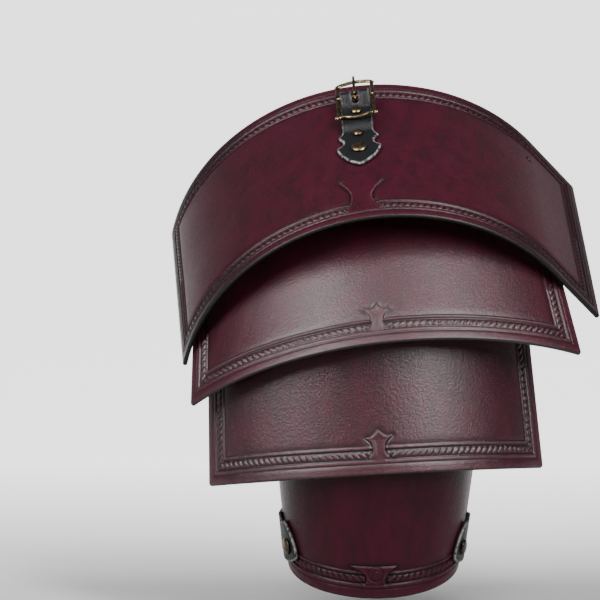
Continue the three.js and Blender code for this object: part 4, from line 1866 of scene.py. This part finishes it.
class BuckleTab:
    """The strap that is folded round the buckle's bar and riveted to the top plate."""

    ROW_STEP = 0.8
    TRACK_STEP = 0.3
    PLAIN_TO = 8.0
    TURN_ROWS = 13
    TURNED_AT = 3
    BACK_ROWS = 8
    BACK_FROM = 4.0
    FINE_PAST = 8.0

    def __init__(self, buckling: Buckling) -> None:
        """Takes the buckle's frame.

        Args:
            buckling: where the buckle is.
        """
        self.buckling = buckling
        self.plate = PlateSurface(TOP)
        self.turn = BUCKLE.bar_radius + STRAP.gap + STRAP.thickness / 2

    @staticmethod
    def across(height: float) -> float:
        """How far across the tab's middle is at a height."""
        share = (height - TAB.tip) / (TAB.bar - TAB.tip)
        return TAB.tip_across + share * (TAB.bar_across - TAB.tip_across)

    def _track(self) -> tuple[Track, float]:
        """The tab's middle surface.

        Returns:
            The surface, and the length along at which it turns over the bar.
        """
        flat = STRAP.gap + STRAP.thickness / 2
        upper = flat + STRAP.thickness + STRAP.gap
        heights = np.arange(TAB.tip, TAB.seam_end - self.PLAIN_TO, self.ROW_STEP)
        steps = smooth(heights, TAB.step_start, TAB.step_end)
        rows = [self._lay(height, flat + step * (upper - flat)) for height, step in zip(heights, steps)]
        rows += [self._lay(TAB.seam_end - below, upper + lift) for below, lift in TAB.seam_lifts]
        rows.append(self._fold(-TAB.fold_reach, -TAB.fold_drop))
        over = len(rows) + self.TURNED_AT
        for angle in np.radians(np.linspace(TAB.fold_from, TAB.fold_to, self.TURN_ROWS)):
            rows.append(self._fold(self.turn * math.cos(angle), self.turn * math.sin(angle)))
        rows.append(self._lay(TAB.seam_end, flat))
        heights = np.linspace(TAB.seam_end - self.BACK_FROM, TAB.back_end, self.BACK_ROWS)
        rows += [self._lay(height, flat) for height in heights]
        track = Track(rows, self.TRACK_STEP)
        return track, float(track.knots[over])

    def _lay(self, height: float, off: float) -> np.ndarray:
        """A row of points across the tab, off the plate at a height."""
        return self.plate.place(self.across(height) + Track.ASIDE, np.full_like(Track.ASIDE, height), off)

    def _fold(self, y: float, z: float) -> np.ndarray:
        """A row of points across the tab, at y and z in the buckle's frame."""
        return self.buckling.place(np.array([(x, y, z) for x in Track.ASIDE]))

    def build(self, finishes: Finishes) -> None:
        """Makes the tab and its three rivets.

        Args:
            finishes: the materials.
        """
        track, over = self._track()
        bend = math.radians(TAB.fold_from - TAB.fold_to) * self.turn
        slot = (over - BUCKLE.slot_below, over + bend + BUCKLE.slot_above)
        dimples = [height - TAB.tip for _, _, height, _ in TAB_RIVETS]
        fine_until = over + self.FINE_PAST
        strap = Strap("buckle_tab_leather", track, shield_half, fine_until, ("buckle_tab",), slot, dimples)
        strap.build(finishes.black)
        inner = TOP.thickness + STRAP.gap + STRAP.thickness
        for name, kind, height, layers in TAB_RIVETS:
            outer = layers * (STRAP.thickness + STRAP.gap)
            add_rivet(name, kind, self.plate, (self.across(height), height), (outer, inner), finishes.brass)


HEAD_RIM = 0.45
HEAD_PROFILE = ((0.93, 0.0), (0.99, 0.12))
DOME_ANGLES = (0, 8, 18, 30, 42, 54, 66, 78)
TAIL_PROFILE = ((0.0, 1.0), (0.55, 1.0), (0.88, 0.85), (1.0, 0.5), (0.97, 0.12), (0.9, 0.0))


def add_rivet(name: str, kind: Rivet, plate: PlateSurface, at: Pair,
              stacks: Pair, material: Material) -> bpy.types.Object:
    """A rivet through a plate.

    Args:
        name: the frame's node that it stands for.
        kind: which rivet it is.
        plate: the plate it goes through.
        at: (across, height) on the plate.
        stacks: how much leather lies outside and inside the plate's outer face.
        material: its metal.

    Returns:
        The object.
    """
    size = kind.value
    seat, foot = stacks[0] + STRAP.gap, -(stacks[1] + STRAP.gap)
    dome = [
        (size.head * math.cos(a), seat + HEAD_RIM + (size.rise - HEAD_RIM) * math.sin(a))
        for a in np.radians(DOME_ANGLES)
    ]
    profile = [
        *((size.tail * share, foot - below) for share, below in TAIL_PROFILE),
        (size.shank, foot), (size.shank, seat),
        *((size.head * share, seat + above) for share, above in HEAD_PROFILE),
        *dome, (0, seat + size.rise),
    ]
    centre = plate.place(*at)[0]
    axis = plate.directions(at[0])[2][0]
    made = lathe(name + "_metal", profile, centre, axis, material, size.sides)
    return finish_piece(made, Body.PLATES, Slot.BRASS, name)


class Buckle:
    """The buckle's frame and its tongue."""

    FLATTENED = 0.85
    TOP_SHARE = 0.95
    TOP_SWELL = 0.12
    NECK = 0.12
    NECK_AT = (10.6, 1.2)
    KNOB = 0.34
    KNOB_IN = 0.3
    LIP_SHARE = 0.75
    LIP_FLATTENED = 0.8
    BOTTOM_FLATTENED = 0.9
    BAR_POINTS = 16
    SIDE_STEP = 0.8
    TOP_STEP = 0.6
    FINE_STEP = 0.5
    WRAP_POINTS = 14
    TIP_POINTS = 14
    TIP_TAPER = 0.22
    TONGUE_SIDES = 18

    def __init__(self, buckling: Buckling) -> None:
        """Takes the buckle's frame."""
        self.buckling = buckling

    def build(self, material: Material) -> None:
        """Makes the frame and the tongue.

        Args:
            material: their metal.
        """
        rods = []
        r = BUCKLE.side_radius
        bar = np.linspace((-BUCKLE.half_width, 0, 0), (BUCKLE.half_width, 0, 0), self.BAR_POINTS)
        rods.append(rod(bar, np.full(len(bar), BUCKLE.bar_radius)))
        for sign in (-1, 1):
            side = path_through([(sign * x, y, z) for x, y, z in BUCKLE.side], self.SIDE_STEP)
            rods.append(rod(side, np.full(len(side), r), self.FLATTENED))
        top = path_through(BUCKLE.top, self.TOP_STEP)
        spread = 1 - np.abs(top[:, 0]) / np.abs(top[:, 0]).max()
        rods.append(rod(top, r * (self.TOP_SHARE + self.TOP_SWELL * spread), self.FLATTENED))
        lip = (top + np.array(BUCKLE.lip))[BUCKLE.lip_ends:-BUCKLE.lip_ends]
        rods.append(rod(lip, np.full(len(lip), self.LIP_SHARE * r), self.LIP_FLATTENED))
        bottom = path_through(BUCKLE.bottom, self.FINE_STEP)
        reach = np.abs(bottom[:, 0])
        knobs = 1 - self.NECK * bell(reach, *self.NECK_AT)
        knobs += self.KNOB * bell(reach, reach.max() - self.KNOB_IN, 1)
        rods.append(rod(bottom, r * knobs, self.BOTTOM_FLATTENED))
        frame_rods = [(self.buckling.place(points), faces) for points, faces in rods]
        finish_piece(add_rods("buckle_metal", frame_rods, material), Body.BUCKLE, Slot.BRASS, "buckle_frame")
        finish_piece(self._tongue(material), Body.TONGUE, Slot.BRASS, "buckle_tongue")

    def _tongue(self, material: Material) -> bpy.types.Object:
        """The tongue's wire.

        Args:
            material: its metal.

        Returns:
            The object.
        """
        wrap = BUCKLE.bar_radius + STRAP.gap + BUCKLE.tongue_radius
        lying = BUCKLE.side_radius + STRAP.gap + BUCKLE.tongue_radius
        angles = np.radians(np.linspace(*BUCKLE.tongue_wrap, self.WRAP_POINTS))
        points = [(0, wrap * math.cos(a), wrap * math.sin(a)) for a in angles]
        points += [(0, 0.35 * BUCKLE.tongue_rest, wrap + 0.1), (0, BUCKLE.tongue_rest, lying + 0.15)]
        points += [(0, BUCKLE.tongue_tip, lying)]
        path = path_through(points, self.FINE_STEP)
        taper = smooth(np.arange(len(path)), len(path) - self.TIP_POINTS, len(path) - 1)
        radii = np.full(len(path), BUCKLE.tongue_radius) * (1 - self.TIP_TAPER * taper)
        corners, faces = rod(path, radii, up=(1, 0, 0), sides=self.TONGUE_SIDES)
        return add_rods("tongue_metal", [(self.buckling.place(corners), faces)], material)


class Hangers:
    """The inner straps that carry the lames, with their rivets."""

    OVER = 2.5
    DIP = 2.0
    LEAD = 4.0
    ROW_STEP = 15.0
    TRACK_STEP = 1.0
    TENSION = 0.35

    def build(self, finishes: Finishes) -> None:
        """Makes the three straps and nine rivets.

        Args:
            finishes: the materials.
        """
        keys = {SECOND: "second", THIRD: "third", CUFF: "cuff"}
        inner = TOP.thickness + STRAP.gap + STRAP.thickness
        for name, legs in HANGERS.items():
            track = Track(self._rows(legs), self.TRACK_STEP, self.TENSION)
            strap = Strap(f"hanger_{name}_leather", track, self._half, 0.0, (f"hanger_strap_{name}",))
            strap.build(finishes.black)
            for leg in legs:
                if leg.riveted:
                    node = f"hanger_rivet_{name}_{keys[leg.plate]}"
                    at = (leg.across, leg.riveted)
                    add_rivet(node, Rivet.HIDDEN, PlateSurface(leg.plate), at, (0.0, inner), finishes.brass)

    @staticmethod
    def _half(along: np.ndarray) -> np.ndarray:
        """Half-widths of a hanger strap."""
        return np.full_like(along, HANGER_HALF_WIDTH)

    def _rows(self, legs: tuple[HangerLeg, ...]) -> list[np.ndarray]:
        """Rows of points along a strap's legs.

        Args:
            legs: the legs, from the top down.

        Returns:
            The rows.
        """
        rows = []
        lying = -(TOP.thickness + STRAP.gap + STRAP.thickness / 2)
        for index, leg in enumerate(legs):
            surface = PlateSurface(leg.plate)
            s = leg.across + Track.ASIDE
            top = float(surface.upper(np.array(leg.across)))
            count = max(2, round((leg.start - leg.end) / self.ROW_STEP) + 1)
            heights = list(np.linspace(leg.start - self.LEAD, leg.end, count))
            if index:
                heights = [top + self.OVER, (top + leg.start) / 2 - self.DIP, *heights]
            rows += [surface.place(s, np.full_like(s, h), lying) for h in heights]
        return rows


class ArmStraps:
    """The strap round the arm, its two shield tips with rivets, and its clasp."""

    ROW_STEP = 1.5
    TRACK_STEP = 0.6
    CLASP_SECTION = (
        (-1, 0.6), (-0.97, 0.9), (-0.9, 1), (0, 1), (0.9, 1), (0.97, 0.9), (1, 0.6), (1, -0.6), (0.97, -0.9),
        (0.9, -1), (0, -1), (-0.9, -1), (-0.97, -0.9), (-1, -0.6),
    )

    def __init__(self) -> None:
        """Takes the round of the arm."""
        self.surface = PlateSurface(ARM_ROUND)
        self.flat = STRAP.gap + STRAP.thickness / 2

    @staticmethod
    def _climb(length: float) -> Pair:
        """The strap's middle.

        Args:
            length: how far back from its tip.

        Returns:
            Its height and its slope there.
        """
        span = ARM.level_from - ARM.steady_to
        eased = min(max(length - ARM.steady_to, 0.0), span)
        share = eased / span
        height = ARM.tip_height + ARM.climb * (min(length, ARM.steady_to) + eased * (1 - share / 2))
        return height, math.atan(ARM.climb * (1 - share))

    def _row(self, side: int, length: float, off: float) -> np.ndarray:
        """Points across the strap.

        Args:
            side: -1 for the left piece, 1 for the right one.
            length: how far back from its tip.
            off: distance outwards from the cuff.

        Returns:
            The points.
        """
        height, slope = self._climb(length)
        across = self._tip(side) + side * length
        aside = Track.ASIDE
        across = across - side * aside * math.sin(slope)
        return self.surface.place(across, height + aside * math.cos(slope), off)

    @staticmethod
    def _length(degrees: float) -> float:
        """Length round the arm at an angle."""
        return ARM_ROUND.left_radius * math.radians(degrees)

    def _tip(self, side: int) -> float:
        """Length across at a side's tip."""
        return self._length(ARM.left_tip if side < 0 else ARM.right_tip)

    def build(self, finishes: Finishes) -> None:
        """Makes the straps, rivets and clasp.

        Args:
            finishes: the materials.
        """
        cuff = PlateSurface(CUFF)
        pieces = ((-1, "arm_strap", "side_rivet_left"), (1, "arm_strap_tab", "side_rivet_right"))
        for side, node, rivet in pieces:
            end = self._length(ARM.lap_end) - abs(self._tip(side))
            raised = self._length(ARM.raised_from) - abs(self._tip(side))
            lengths = np.linspace(0, end, round(end / self.ROW_STEP))
            rise = smooth(lengths, raised - ARM.rise[0], raised - ARM.rise[1])
            lift = (STRAP.thickness + STRAP.gap) * (side > 0) * rise
            rows = [self._row(side, length, self.flat + up) for length, up in zip(lengths, lift)]
            track = Track(rows, self.TRACK_STEP, side=-side)
            strap = Strap(node + "_leather", track, shield_half, ARM.shows_to, (node,),
                          dimples=(ARM.rivet_from_tip,))
            strap.build(finishes.black)
            at = (self._tip(side) + side * ARM.rivet_from_tip, self._climb(ARM.rivet_from_tip)[0])
            stacks = (STRAP.gap + STRAP.thickness, CUFF.thickness)
            add_rivet(rivet, Rivet.LARGE, cuff, at, stacks, finishes.tarnished)
        self._clasp(finishes.brass)

    def _clasp(self, material: Material) -> bpy.types.Object:
        """A flat loop round both layers of the lap.

        Args:
            material: its metal.

        Returns:
            The object.
        """
        high = 2 * STRAP.thickness + 3 * STRAP.gap
        half = STRAP.width / 2 + STRAP.gap
        s, (middle, _) = self._length(ARM.clasp_at), self._climb(ARM.level_from)
        r = ARM.clasp_wall / 2
        rings = []
        for v, h, start in ((half, high, 0), (-half, high, 90), (-half, 0, 180), (half, 0, 270)):
            for angle in np.radians(start + np.arange(0, 91, 15)):
                up, out = math.cos(angle), math.sin(angle)
                along = np.array([s + a * ARM.clasp_length / 2 for a, _ in self.CLASP_SECTION])
                heights = np.array([middle + v + r * up * (1 + b) for _, b in self.CLASP_SECTION])
                offs = np.array([h + r * out * (1 + b) for _, b in self.CLASP_SECTION])
                rings.append(self.surface.place(along, heights, offs))
        faces = bands(len(rings), len(self.CLASP_SECTION), closed=True)
        made = add_mesh("strap_clasp_metal", np.vstack(rings), faces, material)
        return finish_piece(made, Body.PLATES, Slot.BRASS, "strap_clasp")


# Room, lights and camera


@dataclass(frozen=True)
class StudioSize:
    """The floor and backdrop, the camera and the lights, in metres and watts."""

    target: Triple = (-0.0494, 0.060, 0.195)
    distance: float = 1.8
    elevation: float = 3.0
    lens: float = 166.15
    sensor: float = 36.0
    clip_end: float = 50.0
    floor_gap: float = 0.02
    half_width: float = 8.0
    floor_front: float = -6.0
    bend_from: float = 2.0
    bend_radius: float = 1.5
    wall_top: float = 7.0
    world: float = 0.05
    glow: float = 2.0
    glow_around: float = 0.2
    glow_depth: Pair = (0.1, 0.9)
    glow_height: Pair = (1.4, 0.8)
    glow_right: Pair = (1.5, 0.9)
    glow_left: Pair = (-1.6, -1.0)
    around_squared: Pair = (0.8, 4.5)
    paper: float = 0.66
    # Painted shade: the floor is darker in front of the object.
    paper_shaded_in_front: float = 0.30
    paper_depth: Pair = (-0.12, 0.2)
    paper_roughness: float = 0.9


@dataclass(frozen=True)
class SoftBox:
    """A softbox: where it is round the object, how big and how strong."""

    azimuth: float
    elevation: float
    distance: float
    width: float
    height: float
    power: float


BOXES = (
    SoftBox(-51, 37, 1.4, 0.40, 1.35, 37),
    SoftBox(38, 37, 1.4, 0.32, 1.35, 39),
    SoftBox(0, 75, 1.6, 1.0, 0.6, 0.45),
)


class Studio:
    """Pale floor and backdrop, soft lights and the camera."""

    BEND_ANGLES = np.arange(6, 91, 6)

    def __init__(self, size: StudioSize) -> None:
        """Takes the sizes and finds the camera's target."""
        self.size = size
        self.target = Vector(size.target) - Vector(SEAT * MM)

    def build(self) -> None:
        """Makes the room, the lights and the camera."""
        self._sweep()
        self._world()
        for box in BOXES:
            self._light(box)
        self._camera()

    def _sweep(self) -> None:
        """A floor that bends up into a backdrop."""
        size = self.size
        floor = FRAME_BOUNDS[0].z - size.floor_gap
        profile = [(size.floor_front, 0.0), (size.bend_from, 0.0)]
        for angle in np.radians(self.BEND_ANGLES):
            y, z = size.bend_radius * math.sin(angle), size.bend_radius * (1 - math.cos(angle))
            profile.append((size.bend_from + y, z))
        profile.append((size.bend_from + size.bend_radius, size.wall_top))
        points = [(x, y, floor + z) for y, z in profile for x in (-size.half_width, size.half_width)]
        faces = [(2 * k, 2 * k + 1, 2 * k + 3, 2 * k + 2) for k in range(len(profile) - 1)]
        mesh = bpy.data.meshes.new("sweep")
        mesh.from_pydata(points, [], faces)
        mesh.polygons.foreach_set("use_smooth", [True] * len(mesh.polygons))
        mesh.materials.append(self._paper())
        sweep = bpy.data.objects.new("sweep", mesh)
        bpy.context.scene.collection.objects.link(sweep)

    def _paper(self) -> Material:
        """Pale paper that glows behind the object and, less, all round it, and whose floor in front of the
        object is darker, as painted shade.

        Returns:
            The material.
        """
        size = self.size
        paper = Shader("pale paper")
        sockets = paper.surface.inputs
        x, y, z = (paper.axis(name) for name in "XYZ")
        # Painted shade: the floor is darker in front of the object.
        paper.put(paper.span(y, *size.paper_depth, size.paper_shaded_in_front, size.paper), sockets["Base Color"])
        sockets["Roughness"].default_value = size.paper_roughness
        sockets["Emission Color"].default_value = (1, 1, 1, 1)
        behind = paper.span(y, *size.glow_depth, 0.0, size.glow)
        low = paper.span(z, *size.glow_height)
        wide = paper.product(paper.span(x, *size.glow_right), paper.span(x, *size.glow_left))
        squared = paper.maths("ADD", paper.product(x, x), paper.product(y, y))
        around = paper.span(squared, *size.around_squared, 0.0, size.glow_around)
        glow = paper.maths("MAXIMUM", paper.product(behind, low, wide), paper.product(around, low))
        paper.put(glow, sockets["Emission Strength"])
        return paper.material

    def _world(self) -> None:
        """Even light from all round."""
        world = bpy.data.worlds.new("studio")
        world.use_nodes = True
        back = world.node_tree.nodes["Background"]
        back.inputs["Color"].default_value = (1, 1, 1, 1)
        back.inputs["Strength"].default_value = self.size.world
        bpy.context.scene.world = world

    def _light(self, box: SoftBox) -> None:
        """One softbox, turned to the object.

        Args:
            box: its place, size and power.
        """
        data = bpy.data.lights.new("softbox", "AREA")
        data.shape = "RECTANGLE"
        data.size, data.size_y, data.energy = box.width, box.height, box.power
        light = bpy.data.objects.new("softbox", data)
        self._aim(light, box.azimuth, box.elevation, box.distance)

    def _aim(self, thing: bpy.types.Object, azimuth: float, elevation: float, distance: float) -> None:
        """Puts a thing at a place round the target and turns it there.

        Args:
            thing: a light or a camera.
            azimuth, elevation: the direction it is seen in, in degrees.
            distance: how far off it is.
        """
        a, e = math.radians(azimuth), math.radians(elevation)
        away = Vector((math.sin(a) * math.cos(e), -math.cos(a) * math.cos(e), math.sin(e)))
        thing.location = self.target + away * distance
        thing.rotation_euler = (-away).to_track_quat("-Z", "Y").to_euler()
        bpy.context.scene.collection.objects.link(thing)

    def _camera(self) -> None:
        """The camera at the photograph's angle."""
        data = bpy.data.cameras.new("camera")
        data.sensor_fit = "HORIZONTAL"
        data.sensor_width, data.lens = self.size.sensor, self.size.lens
        data.clip_end = self.size.clip_end
        camera = bpy.data.objects.new("camera", data)
        self._aim(camera, 0.0, self.size.elevation, self.size.distance)
        bpy.context.scene.camera = camera


def main() -> None:
    """Builds every piece in order."""
    logging.basicConfig(level=logging.INFO, format="%(name)s: %(message)s")
    finishes = make_finishes()
    buckling = Buckling()
    TooledPlate("top_plate", TOP, EMBLEMS["top_plate"], True, LACING_HOLES).build(finishes.shaded_top)
    TooledPlate("second_lame", SECOND, EMBLEMS["second_lame"], False).build(finishes.oxblood)
    TooledPlate("third_lame", THIRD, EMBLEMS["third_lame"], False).build(finishes.oxblood)
    TooledPlate("arm_cuff", CUFF, EMBLEMS["arm_cuff"], False).build(finishes.shaded_cuff)
    BuckleTab(buckling).build(finishes)
    Buckle(buckling).build(finishes.brass)
    Hangers().build(finishes)
    ArmStraps().build(finishes)
    Studio(StudioSize()).build()


if __name__ == "__main__":
    main()
